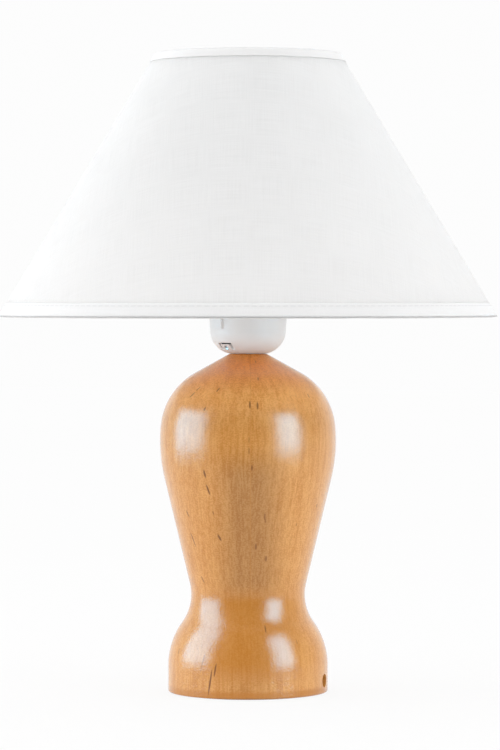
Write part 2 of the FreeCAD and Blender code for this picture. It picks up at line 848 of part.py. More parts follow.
def make_holder_skirt():
    """Outer shell with a flange below, an outside thread and a lip over the screw shell."""
    body = new_body("holder_skirt")
    outer = skirt_radius
    lip = bulb_thread_crest + size.skirt_lip_clearance
    lip_bottom = block_top + size.shell_height + size.skirt_lip_gap - skirt_bottom
    top = lip_bottom + size.skirt_lip_thickness
    corners = [
        (skirt_inner, 0),
        (rim_radius, 0),
        (rim_radius, size.skirt_flange_height),
        (outer, size.skirt_flange_height),
        (outer, top),
        (lip, top),
        (lip, lip_bottom),
        (skirt_inner, lip_bottom),
    ]
    turn_outline(body, corners)
    pitch = size.skirt_thread_pitch
    turns = (top - size.skirt_thread_start - size.skirt_thread_end) / pitch
    wind_thread(body, outer - size.thread_root, outer + size.skirt_thread_height,
                size.skirt_thread_half, size.skirt_thread_start, pitch, turns)
    place(body, skirt_bottom)


def make_shade_ring_nut():
    """Ring nut with a low flange and a grooved collar for the fingers."""
    body = new_body("shade_ring_nut")
    flange = size.ring_nut_flange_height
    flange_radius = ring_nut_radius + size.ring_nut_flange_width
    corners = [
        (ring_nut_bore, 0),
        (flange_radius, 0),
        (flange_radius, flange),
        (ring_nut_radius, flange),
        (ring_nut_radius, size.ring_nut_height),
        (ring_nut_bore, size.ring_nut_height),
    ]
    turn_outline(body, corners)
    sketch = new_sketch(body, "XY_Plane", away=flange)
    draw_circle(sketch, size.ring_nut_groove_radius, x=ring_nut_radius)
    groove = pocket(body, sketch, size.ring_nut_height, forward=True)
    repeat_round(body, groove, size.ring_nut_groove_count)
    place(body, ring_nut_bottom)


# Radii of the shade's layers, on the slant of the cone.
shade_spread = size.shade_bottom_radius - size.shade_top_radius
shade_slant = root(square(size.shade_height) + square(shade_spread))
shade_lean = shade_spread / size.shade_height
shade_cosine = size.shade_height / shade_slant
fabric_depth = size.tape_thickness + size.tape_gap
glue_depth = fabric_depth + size.fabric_thickness
liner_depth = glue_depth + size.glue_gap
inside_depth = liner_depth + size.liner_thickness
fold = size.tape_thickness + size.shade_fold_gap
wire_inset = fold + size.shade_wire_radius
wire_depth = inside_depth + size.shade_fold_gap + size.shade_wire_radius


def cone_radius(height, depth):
    """Radius of the cone at a height above its bottom edge, at a depth under its surface."""
    return size.shade_bottom_radius - height * shade_lean - depth / shade_cosine


bottom_wire_radius = cone_radius(wire_inset, wire_depth)
top_wire_radius = cone_radius(size.shade_height - wire_inset, wire_depth)


def make_fitter_ring():
    """Flat ring that the ring nut clamps on the holder's flange."""
    body = new_body("fitter_ring")
    turn_ring(body, fitter_inner, fitter_outer, 0, size.fitter_thickness)
    place(body, fitter_bottom)


def make_shade_arm(name, index):
    """Straight wire from the fitter ring's underside to the bottom wire ring."""
    body = new_body(f"shade_arm_{name}")
    start_x = latch_outer + size.arm_inner_gap
    start_z = -size.arm_radius - size.arm_weld_gap
    end_x = bottom_wire_radius - size.shade_wire_radius - size.arm_weld_gap
    end_z = arm_end_height - fitter_bottom
    spine = new_sketch(body, "XZ_Plane")
    start = Vector(start_x.value, start_z.value, 0)
    line = spine.addGeometry(Part.LineSegment(start, Vector(end_x.value, end_z.value, 0)))
    hold(spine, "DistanceX", line, 1, start_x)
    hold(spine, "DistanceY", line, 1, start_z)
    hold(spine, "DistanceX", line, 2, end_x)
    hold(spine, "DistanceY", line, 2, end_z)
    section = new_sketch(body, "YZ_Plane", away=start_x)
    draw_circle(section, size.arm_radius, y=start_z)
    feature = body.newObject("PartDesign::AdditivePipe", f"{body.Name}_wire")
    feature.Profile = section
    feature.Spine = spine
    finish_feature(body, feature)
    place(body, fitter_bottom, size.arm_first_angle + index * FULL_TURN / size.arm_count)


def make_wire_ring(name, radius, height):
    """Closed ring of round wire in one of the hems."""
    torus = keep(doc.addObject("Part::Torus", name), name)
    bind(torus, "Radius1", radius)
    bind(torus, "Radius2", size.shade_wire_radius)
    place(torus, shade_bottom + height)


def make_cone_layer(name, outer_depth, inner_depth):
    """Turns one thin layer of the cone, short of the folds of both hems."""
    body = new_body(name)
    low = fold
    high = size.shade_height - fold
    corners = [
        (cone_radius(low, inner_depth), low),
        (cone_radius(low, outer_depth), low),
        (cone_radius(high, outer_depth), high),
        (cone_radius(high, inner_depth), high),
    ]
    turn_outline(body, corners)
    place(body, shade_bottom)


def make_bottom_hem():
    """Tape folded round the bottom edge and its wire, notched where the arms pass."""
    body = new_body("bottom_hem")
    tape = size.tape_thickness
    wire_inside = bottom_wire_radius - size.shade_wire_radius - size.shade_fold_gap
    hem_top = size.bottom_hem_width * shade_cosine
    corners = [
        (wire_inside - tape, 0),
        (cone_radius(0, 0), 0),
        (cone_radius(hem_top, 0), hem_top),
        (cone_radius(hem_top, tape), hem_top),
        (cone_radius(tape, tape), tape),
        (wire_inside, tape),
        (wire_inside, size.hem_inner_width),
        (wire_inside - tape, size.hem_inner_width),
    ]
    turn_outline(body, corners)
    notch = new_sketch(body, "YZ_Plane", away=wire_inside - 2 * tape)
    draw_circle(notch, size.arm_radius + size.hem_notch_gap, y=arm_end_height - shade_bottom)
    cut = pocket(body, notch, 2 * tape + size.shade_fold_gap, forward=True)
    repeat_round(body, cut, size.arm_count)
    place(body, shade_bottom, size.arm_first_angle)


def make_top_hem():
    """Tape folded round the top edge and its wire."""
    body = new_body("top_hem")
    tape = size.tape_thickness
    top = size.shade_height
    wire_inside = top_wire_radius - size.shade_wire_radius - size.shade_fold_gap
    hem_bottom = top - size.top_hem_width * shade_cosine
    corners = [
        (cone_radius(hem_bottom, tape), hem_bottom),
        (cone_radius(hem_bottom, 0), hem_bottom),
        (cone_radius(top, 0), top),
        (wire_inside - tape, top),
        (wire_inside - tape, top - size.hem_inner_width),
        (wire_inside, top - size.hem_inner_width),
        (wire_inside, top - tape),
        (cone_radius(top - tape, tape), top - tape),
    ]
    turn_outline(body, corners)
    place(body, shade_bottom)


# Places inside the bulb, above its tip.
cap_inner = size.bulb_cap_radius - size.bulb_cap_wall
neck_radius = cap_inner - size.bulb_insulator_gap
neck_inner = neck_radius - size.housing_neck_wall
rim_height = size.bulb_cap_top + size.housing_height
diffuser_radius = size.housing_rim_radius + size.diffuser_bulge
diffuser_drop = root(square(diffuser_radius) - square(size.housing_rim_radius))


def make_bulb_contact():
    """Solder button at the bulb's tip, with a crowned face."""
    body = new_body("bulb_contact")
    radius = size.bulb_contact_radius
    crown = size.bulb_contact_crown
    crown_arc = (square(radius) + square(crown)) / (2 * crown)
    corners = [(0, 0), (radius, crown), (radius, size.bulb_contact_height),
               (0, size.bulb_contact_height)]
    turn_outline(body, corners, {0: (crown_arc, 1)})
    place(body, bulb_bottom)


def make_bulb_insulator():
    """Glassy cone between the contact and the metal cap."""
    body = new_body("bulb_insulator")
    hollow = size.bulb_contact_radius + size.bulb_insulator_gap
    seat = size.bulb_contact_height + size.bulb_insulator_gap
    cone_top = size.bulb_cap_bottom
    corners = [
        (hollow, size.bulb_insulator_foot),
        (size.bulb_insulator_foot_radius, size.bulb_insulator_foot),
        (neck_radius, cone_top),
        (neck_radius, size.bulb_insulator_height),
        (0, size.bulb_insulator_height),
        (0, seat),
        (hollow, seat),
    ]
    turn_outline(body, corners)
    place(body, bulb_bottom)


def make_bulb_cap():
    """Metal cap with the outside thread."""
    body = new_body("bulb_cap")
    turn_ring(body, cap_inner, size.bulb_cap_radius, size.bulb_cap_bottom, size.bulb_cap_top)
    pitch = size.bulb_thread_pitch
    turns = (size.bulb_cap_top - size.bulb_thread_start - size.bulb_thread_end) / pitch
    wind_thread(body, size.bulb_cap_radius - size.thread_root, bulb_thread_crest,
                size.bulb_thread_half, size.bulb_thread_start, pitch, turns)
    place(body, bulb_bottom)


def make_bulb_housing():
    """Plastic body that widens from the cap to the diffuser, with a neck in the cap."""
    body = new_body("bulb_housing")
    low = size.bulb_cap_top
    wall = size.housing_wall
    rim = size.housing_rim_radius
    corners = [
        (neck_inner, low - size.housing_neck_length),
        (neck_radius, low - size.housing_neck_length),
        (neck_radius, low),
        (size.housing_bottom_radius, low),
        (rim, rim_height),
        (rim - wall, rim_height),
        (size.housing_bottom_radius - wall, low + wall),
        (neck_inner, low + wall),
    ]
    arcs = {3: (size.housing_side_arc, 1), 5: (size.housing_side_arc - wall, -1)}
    turn_outline(body, corners, arcs)
    place(body, bulb_bottom)


def make_bulb_led_board():
    """Round board that lies on the housing's rim inside the diffuser."""
    body = new_body("bulb_led_board")
    disc = new_sketch(body, "XY_Plane")
    radius = size.housing_rim_radius - size.housing_wall + size.led_board_overlap
    draw_circle(disc, radius)
    pad(body, disc, size.led_board_thickness)
    place(body, bulb_bottom + rim_height)


def make_bulb_driver_board():
    """Upright board in the housing, under the round board."""
    board = keep(doc.addObject("Part::Box", "bulb_driver_board"), "bulb_driver_board")
    half_width = neck_inner - size.driver_board_gap
    bind(board, "Length", 2 * half_width)
    bind(board, "Width", size.driver_board_thickness)
    bind(board, "Height", size.driver_board_height)
    bind(board, ".Placement.Base.x", -half_width)
    bind(board, ".Placement.Base.y", -size.driver_board_thickness / 2)
    place(board, bulb_bottom + rim_height - size.driver_board_height)


def make_bulb_diffuser():
    """Thin opal globe that stands on the housing's rim."""
    body = new_body("bulb_diffuser")
    outer = diffuser_radius
    inner = outer - size.diffuser_wall
    inner_rim = root(square(inner) - square(diffuser_drop))
    corners = [
        (size.housing_rim_radius, 0),
        (outer, diffuser_drop),
        (0, diffuser_drop + outer),
        (0, diffuser_drop + inner),
        (inner, diffuser_drop),
        (inner_rim, 0),
    ]
    arcs = {0: (outer, 1), 1: (outer, 1), 3: (inner, -1), 4: (inner, -1)}
    turn_outline(body, corners, arcs)
    place(body, bulb_bottom + rim_height)


def check_and_write():
    """Makes sure that every object rebuilt well, then writes each sub-part."""
    doc.recompute()
    for thing in doc.Objects:
        if "Invalid" in thing.State or "Error" in thing.State:
            raise RuntimeError(f"{thing.Label} failed: {thing.State}")
    os.makedirs("parts", exist_ok=True)
    for part in parts:
        shape = part.Shape
        if shape.isNull() or not shape.isValid():
            raise RuntimeError(f"{part.Label} has no valid shape")
        shape.exportStep(f"parts/{part.Label}.step")
        box = shape.BoundBox
        print(f"{part.Label:24s} solids {len(shape.Solids)}  volume {shape.Volume:10.1f}"
              f"  z {box.ZMin:7.2f} to {box.ZMax:7.2f}")


make_base_felt()
make_wood_base()
make_threaded_tube()
make_base_washer()
make_base_nut()
make_holder_cap()
make_lock_screw()
make_terminal_block()
for terminal_name, terminal_side in (("left", -1), ("right", 1)):
    make_terminal(terminal_name, terminal_side)
make_centre_contact()
make_screw_shell()
make_holder_skirt()
make_shade_ring_nut()
make_fitter_ring()
for arm_index, arm_name in enumerate(("back", "left", "right")):
    make_shade_arm(arm_name, arm_index)
make_wire_ring("bottom_wire_ring", bottom_wire_radius, wire_inset)
make_wire_ring("top_wire_ring", top_wire_radius, size.shade_height - wire_inset)
make_cone_layer("shade_liner", liner_depth, inside_depth)
make_cone_layer("shade_fabric", fabric_depth, glue_depth)
make_bottom_hem()
make_top_hem()
make_bulb_contact()
make_bulb_insulator()
make_bulb_cap()
make_bulb_housing()
make_bulb_driver_board()
make_bulb_led_board()
make_bulb_diffuser()
check_and_write()
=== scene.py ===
# %% [markdown]
# # A bedside lamp in turned wood with a white cone shade
#
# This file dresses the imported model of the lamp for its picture. The solids, their
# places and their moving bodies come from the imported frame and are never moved. What
# is made here is what solids can't show: the lacquered wood, the woven cone with its
# folded and stitched edges, the welds of the wires and the surface of every part.
# Each step has a short text like this one and then a short cell of code.

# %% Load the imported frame
import json
import math

import bpy
import numpy as np
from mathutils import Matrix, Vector


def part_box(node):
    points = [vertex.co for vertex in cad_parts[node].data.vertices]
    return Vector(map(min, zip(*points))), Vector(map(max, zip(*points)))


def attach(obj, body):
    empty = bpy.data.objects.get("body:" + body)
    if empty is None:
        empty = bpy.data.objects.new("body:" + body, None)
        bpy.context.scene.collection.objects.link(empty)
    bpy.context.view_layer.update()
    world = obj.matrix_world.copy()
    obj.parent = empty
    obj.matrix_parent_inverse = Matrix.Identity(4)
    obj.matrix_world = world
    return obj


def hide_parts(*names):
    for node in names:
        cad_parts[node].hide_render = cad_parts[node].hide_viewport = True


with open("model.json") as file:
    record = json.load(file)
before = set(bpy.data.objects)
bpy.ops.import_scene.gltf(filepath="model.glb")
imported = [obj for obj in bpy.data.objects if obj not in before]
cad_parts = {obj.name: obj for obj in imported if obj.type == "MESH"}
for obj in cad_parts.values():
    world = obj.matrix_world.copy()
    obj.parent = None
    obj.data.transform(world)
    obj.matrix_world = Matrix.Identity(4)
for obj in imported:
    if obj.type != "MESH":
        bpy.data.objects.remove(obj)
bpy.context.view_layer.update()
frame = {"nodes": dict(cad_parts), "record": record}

nodes = frame["nodes"]

# %% [markdown]
# ## Camera
#
# The photo was taken from about 1.9 m with a long lens, level with the lower edge of
# the shade. A level look at that height is what draws that edge as a nearly straight
# line, while the foot, far below, shows as a curve. The cord hole points along +X. The
# camera stands before the -Y side, turned about 18 degrees towards the hole, so that
# the hole shows near the right edge of the foot. The view's right and near directions
# are kept as two vectors, because the two boards of the wood and the lights are placed
# along them.

# %% Camera
EYE_AZIMUTH = math.radians(17.7)
EYE_DISTANCE = 1.948
EYE_HEIGHT = 0.2166
FOCAL_PIXELS = 3565
PHOTO_HEIGHT = 750
AXIS_OFFSET_PIXELS = 2
EYE_ABOVE_PIXELS = 79
SENSOR_WIDTH = 36.0

view_right = Vector((math.cos(EYE_AZIMUTH), math.sin(EYE_AZIMUTH), 0))
view_near = Vector((math.sin(EYE_AZIMUTH), -math.cos(EYE_AZIMUTH), 0))
scene = bpy.context.scene
scene.view_settings.view_transform = "Standard"


def add_object(name, data):
    """Puts a mesh, a lamp or a camera into the scene."""
    made = bpy.data.objects.new(name, data)
    scene.collection.objects.link(made)
    return made


camera = add_object("camera", bpy.data.cameras.new("camera"))
camera.data.sensor_width = SENSOR_WIDTH
camera.data.lens = FOCAL_PIXELS * SENSOR_WIDTH / PHOTO_HEIGHT
camera.location = view_near * EYE_DISTANCE + Vector((0, 0, EYE_HEIGHT))
tilt = math.radians(90) - math.atan(EYE_ABOVE_PIXELS / FOCAL_PIXELS)
turn = EYE_AZIMUTH - math.atan(AXIS_OFFSET_PIXELS / FOCAL_PIXELS)
camera.rotation_euler = (tilt, 0, turn)
scene.camera = camera
print("lens in mm:", round(camera.data.lens, 1))

# %% [markdown]
# ## Wiring nodes by name
#
# A material is a small network of nodes. One helper adds a node and fills its inputs
# with plain values or with other nodes' outputs. An output is wrapped in a class of
# its own, so that a line such as grain * 0.36 + fibre adds the Math nodes by itself.
# The shader always stays in the material, with its plain numbers typed on its own
# sockets.

# %% Nodes and outputs
class Output:
    """An output of a node. Sums of outputs become Math nodes."""

    def __init__(self, socket):
        self.socket = socket
        self.tree = socket.id_data

    def reckon(self, operation, *others, clamp=False):
        """A Math node whose first term is this output."""
        terms = dict(enumerate((self, *others)))
        return put(self.tree, "ShaderNodeMath", terms, operation=operation, use_clamp=clamp)[0]

    def __add__(self, other):
        return self.reckon("ADD", other)

    def __sub__(self, other):
        return self.reckon("SUBTRACT", other)

    def __rsub__(self, other):
        return self * -1.0 + other

    def __mul__(self, other):
        return self.reckon("MULTIPLY", other)

    def __truediv__(self, other):
        return self.reckon("DIVIDE", other)


class Placed:
    """A node in its tree, whose outputs are picked by name or number."""

    def __init__(self, node):
        self.node = node

    def __getitem__(self, name):
        return Output(self.node.outputs[name])

    def feed(self, inputs):
        """Fills inputs with plain values or with other nodes' outputs."""
        for name, given in inputs.items():
            socket = self.node.inputs[name]
            if isinstance(given, Output):
                self.node.id_data.links.new(given.socket, socket)
            elif socket.type == "RGBA":
                socket.default_value = (*given[:3], 1.0)
            else:
                socket.default_value = given
        return self


def put(tree, kind, inputs=(), **settings):
    """Adds a node to a tree, sets it up and feeds it."""
    node = tree.nodes.new(kind)
    for name, setting in settings.items():
        setattr(node, name, setting)
    return Placed(node).feed(dict(inputs))


def spaced(words):
    """Turns keyword names such as Coat_Weight into socket names such as Coat Weight."""
    return {name.replace("_", " "): value for name, value in words.items()}


def use(tree, group, **inputs):
    """Places a node group in a tree."""
    return put(tree, "ShaderNodeGroup", spaced(inputs), node_tree=group)


# %% [markdown]
# ## Values, patterns and colours
#
# These are the few steps that every finish below is made of: spreading a value over
# a new range, noise, mixing, and reading how far a point lies along a direction. A
# named range holds the two ends that a value is spread over, and then the two ends
# that it is spread to where they aren't 0 and 1. A named noise holds its scale, how
# many finer layers it has, and how strong these are.

# %% Values, patterns and colours
def spread(value, low, high, to_low=0.0, to_high=1.0):
    """Maps low..high to to_low..to_high, with soft ends."""
    inputs = {"Value": value, "From Min": low, "From Max": high,
              "To Min": to_low, "To Max": to_high}
    return put(value.tree, "ShaderNodeMapRange", inputs,
               interpolation_type="SMOOTHSTEP")["Result"]


def stretch(vector, scales):
    """A vector with each axis scaled, to draw a pattern out along one of them."""
    return put(vector.tree, "ShaderNodeMapping", {"Vector": vector, "Scale": scales})[0]


def noise(vector, scale, detail=2.0, roughness=0.5):
    """A smooth random value, about 0.5 on average. Three scales draw it out."""
    if isinstance(scale, tuple):
        vector = stretch(vector, scale)
        scale = 1.0
    inputs = {"Vector": vector, "Scale": scale, "Detail": detail, "Roughness": roughness}
    return put(vector.tree, "ShaderNodeTexNoise", inputs)["Fac"]


def mix(factor, first, second):
    """Two plain values mixed by a factor."""
    return put(factor.tree, "ShaderNodeMix", {"Factor": factor, "A": first, "B": second})[0]


def blend(factor, first, second, how="MIX"):
    """Two colours mixed by a factor."""
    return put(factor.tree, "ShaderNodeMix", {0: factor, 6: first, 7: second},
               data_type="RGBA", blend_type=how)[2]


def tint(colour, tone):
    """A colour multiplied by a tone."""
    return put(tone.tree, "ShaderNodeMix", {0: 1.0, 6: colour, 7: tone},
               data_type="RGBA", blend_type="MULTIPLY")[2]


def vectors(operation, first, second):
    """A sum of two vectors, as a node."""
    return put(first.tree, "ShaderNodeVectorMath", {0: first, 1: second}, operation=operation)


def along(vector, direction):
    """How far a vector reaches along a direction."""
    return vectors("DOT_PRODUCT", vector, tuple(direction))["Value"]


def split(vector):
    """A vector's parts along the axes."""
    return put(vector.tree, "ShaderNodeSeparateXYZ", {0: vector})


def from_axis(parts):
    """How far a place with these parts is from the upright axis."""
    return (parts["X"] * parts["X"] + parts["Y"] * parts["Y"]).reckon("SQRT")


def join(tree, **parts):
    """A vector made of its parts X, Y and Z."""
    return put(tree, "ShaderNodeCombineXYZ", parts)[0]


# %% [markdown]
# ## Table and backdrop
#
# The photo is a cut-out on pure white with hardly any shadow. The table is one large
# white sheet. To the camera, in mirrors and through glass it glows almost white by
# itself, and the rest of its brightness is real light, so the lamp still casts its
# soft shadow there. For all other rays it is a plain pale surface. Towards the
# camera this surface is darker and mirrors don't show the glow, which keeps the
# middle of the wood deep in colour.

# %% Table and backdrop
TABLE_SIDE = 12.0
TABLE_GAP = 0.00005
TABLE_GLOW = 0.884
TABLE_WHITE = (0.84,) * 3
TABLE_FRONT = (0.34,) * 3
TABLE_UNDER_GLOW = (0.08,) * 3
TABLE_FRONT_STARTS = (0.10, 0.55)
TABLE_CLOUDS = 1.5
CLOUDY = (0.3, 0.7, 0.985, 1.0)


def empty_tree(owner):
    """Starts the nodes of a material or a world afresh."""
    owner.use_nodes = True
    owner.node_tree.nodes.clear()
    return owner.node_tree


def add_rectangle(name, width, height, face=(0, 1, 2, 3)):
    """A flat rectangle round its own middle."""
    mesh = bpy.data.meshes.new(name)
    corners = [(-0.5, -0.5), (0.5, -0.5), (0.5, 0.5), (-0.5, 0.5)]
    mesh.from_pydata([(x * width, y * height, 0) for x, y in corners], [], [face])
    mesh.materials.append(bpy.data.materials.new(name))
    return add_object(name, mesh)


def background_rays(tree):
    """Marks the rays that see the background straight or through glass, and in gloss."""
    rays = put(tree, "ShaderNodeLightPath")
    through = rays["Is Transmission Ray"] * (1.0 - rays["Is Diffuse Ray"])
    return rays["Is Camera Ray"].reckon("MAXIMUM", through), rays["Is Glossy Ray"]


def make_table():
    """The white sheet that the lamp stands on."""
    table = add_rectangle("table", TABLE_SIDE, TABLE_SIDE)
    table.location.z = -TABLE_GAP
    tree = empty_tree(table.data.materials[0])
    place = put(tree, "ShaderNodeTexCoord")["Object"]
    cloudy = spread(noise(place, TABLE_CLOUDS), *CLOUDY)
    front = spread(along(place, view_near), *TABLE_FRONT_STARTS)
    straight, glossy = background_rays(tree)
    seen = straight.reckon("MAXIMUM", glossy * (1.0 - front))
    sheet = blend(front, TABLE_WHITE, TABLE_FRONT)
    plain, dull = [put(tree, "ShaderNodeBsdfDiffuse", {"Color": tint(tone, cloudy)})[0]
                   for tone in (sheet, TABLE_UNDER_GLOW)]
    glow = put(tree, "ShaderNodeEmission", {"Strength": TABLE_GLOW})[0]
    bright = put(tree, "ShaderNodeAddShader", {0: dull, 1: glow})[0]
    mixed = put(tree, "ShaderNodeMixShader", {0: seen, 1: plain, 2: bright})[0]
    put(tree, "ShaderNodeOutputMaterial", {"Surface": mixed})
    print("table side in metres:", TABLE_SIDE)


make_table()

# %% [markdown]
# ## Light
#
# Two tall soft boxes stand on the table and light the lamp, a wide one on the left and
# a narrower one nearer the camera on the right. Their sizes and places were worked
# out from their own pictures in the lacquer: each edge of a bright patch on the
# turned wood gives the direction that a mirrored ray goes. In gloss the room is bright
# behind the lamp and dark on the camera's side, which gives the wood its deep colour
# in the middle and its pale edges. The room's light on dull surfaces only falls by
# about a fifth from the back to the front. Each box is an area lamp that lights
# the dull surfaces, and a glowing card in the same place that only shows in gloss.
# The card fades towards its edges, as the cloth of a soft box does, and is cool like
# daylight. Each row gives a box's bearing, its width, its lower and upper edge, and
# how bright its card is. The room's levels run from behind the lamp to the front.

# %% Light
BOX_DISTANCE = 0.85
BOXES = {
    "left": (math.radians(-83), 0.84, -0.04, 1.25, 8.8),
    "right": (math.radians(54.0), 0.54, -0.04, 0.92, 12.0),
}
COOL_LIGHT = (0.30, 0.70, 1.0)
CARD_FADE = (0.5, 0.40)
LIGHTING_RADIANCE = 0.92
WATTS_PER_RADIANCE = 4.0
ROOM_LEVEL = (-1.0, 0.8, 1.40, 1.09)
MIRRORED_LEVEL = (-0.9, 0.3, 1.0, 0.12)
BACKDROP_WHITE = 0.980


def face_lamp(piece, swing, middle):
    """Stands an upright light or card at a bearing from the lamp, facing it."""
    level = view_near * math.cos(swing) + view_right * math.sin(swing)
    piece.location = level * BOX_DISTANCE + Vector((0, 0, middle))
    piece.rotation_euler = level.to_track_quat("Z", "Y").to_euler()
    piece.visible_camera = False


def add_box(name, swing, width, low, high):
    """A rectangular area lamp for the dull surfaces, from the table upwards."""
    low = max(low, 0.0)
    light = bpy.data.lights.new(name, "AREA")
    light.shape = "RECTANGLE"
    light.size = width
    light.size_y = high - low
    light.energy = WATTS_PER_RADIANCE * LIGHTING_RADIANCE * width * (high - low)
    lamp = add_object(name, light)
    face_lamp(lamp, swing, (low + high) / 2)
    lamp.visible_glossy = False


def add_card(name, swing, width, low, high, radiance):
    """A glowing card that only gloss can see, fading towards its edges."""
    card = add_rectangle(name, width, high - low, face=(3, 2, 1, 0))
    tree = empty_tree(card.data.materials[0])
    parts = split(put(tree, "ShaderNodeTexCoord")["Generated"])
    inner = [spread((parts[axis] - 0.5).reckon("ABSOLUTE"), *CARD_FADE) for axis in "XY"]
    glow = put(tree, "ShaderNodeEmission", {
        "Color": COOL_LIGHT, "Strength": inner[0] * inner[1] * radiance})[0]
    put(tree, "ShaderNodeOutputMaterial", {"Surface": glow})
    face_lamp(card, swing, (low + high) / 2)
    card.visible_diffuse = False
    card.visible_transmission = False
    card.visible_shadow = False


def light_room():
    """White to the camera, and for other rays brighter behind the lamp than in front."""
    scene.world = bpy.data.worlds.new("room")
    tree = empty_tree(scene.world)
    front = along(put(tree, "ShaderNodeTexCoord")["Generated"], view_near)
    straight, glossy = background_rays(tree)
    level = mix(glossy, spread(front, *ROOM_LEVEL), spread(front, *MIRRORED_LEVEL))
    level = mix(straight, level, BACKDROP_WHITE)
    shine = put(tree, "ShaderNodeBackground", {"Color": (1, 1, 1), "Strength": level})[0]
    put(tree, "ShaderNodeOutputWorld", {"Surface": shine})


for side, (swing, width, low, high, radiance) in BOXES.items():
    add_box(f"box_{side}", swing, width, low, high)
    add_card(f"card_{side}", swing, width, low, high, radiance)
light_room()
print("lights:", len(BOXES), "soft boxes, each with its card")

# %% [markdown]
# ## Starting a material or a tree
#
# Every finish starts the same way: a material with one Principled shader whose plain
# numbers are typed on its own sockets, and the Object coordinates that its patterns
# are drawn in. Since every part keeps its place in its mesh, these coordinates are
# metres in the lamp's own frame, so a pattern has its real scale. An effect that
# several materials use is a node group, and so is a Geometry Nodes tree. Both get
# their named sockets from the same helper.

# %% Starting a material or a tree
def new_finish(name, **sockets):
    """A material with one Principled shader. Returns it, its shader and its place."""
    material = bpy.data.materials.new(name)
    tree = empty_tree(material)
    shader = put(tree, "ShaderNodeBsdfPrincipled", spaced(sockets))
    put(tree, "ShaderNodeOutputMaterial", {"Surface": shader[0]})
    return material, shader, put(tree, "ShaderNodeTexCoord")["Object"]


def relief(shader, height, depth, strength=1.0, sockets=("Normal",)):
    """Lifts the surface by height times depth, in metres, for the light alone."""
    bump = put(height.tree, "ShaderNodeBump",
               {"Height": height, "Distance": depth, "Strength": strength})
    shader.feed(dict.fromkeys(sockets, bump["Normal"]))


def let_through(shader, colour, share):
    """Lets a share of the light pass through a thin surface, spread to all sides."""
    passed = put(colour.tree, "ShaderNodeBsdfTranslucent", {"Color": colour})[0]
    mixed = put(colour.tree, "ShaderNodeMixShader", {0: share, 1: shader[0], 2: passed})[0]
    output = next(node for node in colour.tree.nodes if node.type == "OUTPUT_MATERIAL")
    Placed(output).feed({"Surface": mixed})


def new_tree(name, family, inputs, outputs):
    """A tree with named sockets, listed by their kind. Returns it and its input node."""
    tree = bpy.data.node_groups.new(name, family)
    for way, listed in (("INPUT", inputs), ("OUTPUT", outputs)):
        for kind, labels in listed.items():
            for label in labels.split(", "):
                tree.interface.new_socket(label, in_out=way, socket_type="NodeSocket" + kind)
    return tree, put(tree, "NodeGroupInput")


# %% [markdown]
# ## The wood, one board at a time
#
# The base is turned from a block that was glued up from two boards of a pale, fine
# wood. Growth rings are sheets in the tree, so the grain is worked out as a solid
# pattern: a point's distance from the board's own pith picks the ring, and the
# pattern is drawn out along the trunk. The turned surface then cuts through it as
# the lathe does, with straight lines in front and curves at the sides. A second,
# finer noise on the same rings lays thin pale lines over them. Finer noise still,
# drawn out along the trunk, is the fibre. It is crossed by a fine mottle, the ripple
# of the wood's rays, and a soft patchy noise is the shimmer that such wood has under
# lacquer. The group gives three values and the material picks the colours.

# %% The board group
RING_SCALE = 330.0
RING_TANGENT_SCALE = 14.0
RING_LENGTH_SCALE = 3.2
RING_WANDER = 0.006
WANDER_NOISE = ((9.0, 9.0, 5.0), 2.0, 0.5)
GRAIN_NOISE = (1.0, 4.0, 0.62)
PALE_LINE_NOISE = ((1.7, 1.3, 0.5), 1.0, 0.5)
PALE_LINE = (0.58, 0.68, 0.0, 0.20)
FIBRE_NOISE = ((950.0, 950.0, 75.0), 2.0, 0.6)
MOTTLE_NOISE = ((1000.0, 1000.0, 1500.0), 2.0, 0.6)
SHIMMER_NOISE = ((70.0, 70.0, 120.0), 2.0, 0.55)
MOTTLE_SHARE = 0.55


def make_board_group():
    """Grain, fibre and shimmer of one board whose pith stands at a given place."""
    tree, given = new_tree("board", "ShaderNodeTree", {"Vector": "Place, Pith, Shift"},
                           {"Float": "Grain, Fibre, Shimmer"})
    moved = vectors("SUBTRACT", given["Place"], given["Pith"])[0]
    parts = split(moved)
    ring = noise(moved, *WANDER_NOISE) * RING_WANDER + from_axis(parts)
    around = parts["Y"].reckon("ARCTAN2", parts["X"])
    sheet = join(tree, X=ring * RING_SCALE, Y=around * RING_TANGENT_SCALE,
                 Z=parts["Z"] * RING_LENGTH_SCALE)
    sheet = vectors("ADD", sheet, given["Shift"])[0]
    pale = spread(noise(sheet, *PALE_LINE_NOISE), *PALE_LINE)
    fibre = noise(moved, *FIBRE_NOISE) * (1 - MOTTLE_SHARE)
    fibre = noise(moved, *MOTTLE_NOISE) * MOTTLE_SHARE + fibre
    put(tree, "NodeGroupOutput", {"Grain": noise(sheet, *GRAIN_NOISE) - pale, "Fibre": fibre,
                                  "Shimmer": noise(moved, *SHIMMER_NOISE)})
    return tree


board_group = make_board_group()
print("board group nodes:", len(board_group.nodes))

# %% [markdown]
# ## Flecks in the wood
#
# Such wood has short brown dashes along the grain, where insects once worked in the
# growing tree. One group draws one dash: it takes a place on the turned surface,
# given by the angle round the axis and the height, and fades a small slanted lens
# out round it. The dashes that the photo shows are each placed one by one. The rest of
# the wood gets sparse ones from a stretched cell pattern.

# %% The fleck group
FLECK_EDGE = (0.25, 1.0, 1.0, 0.0)


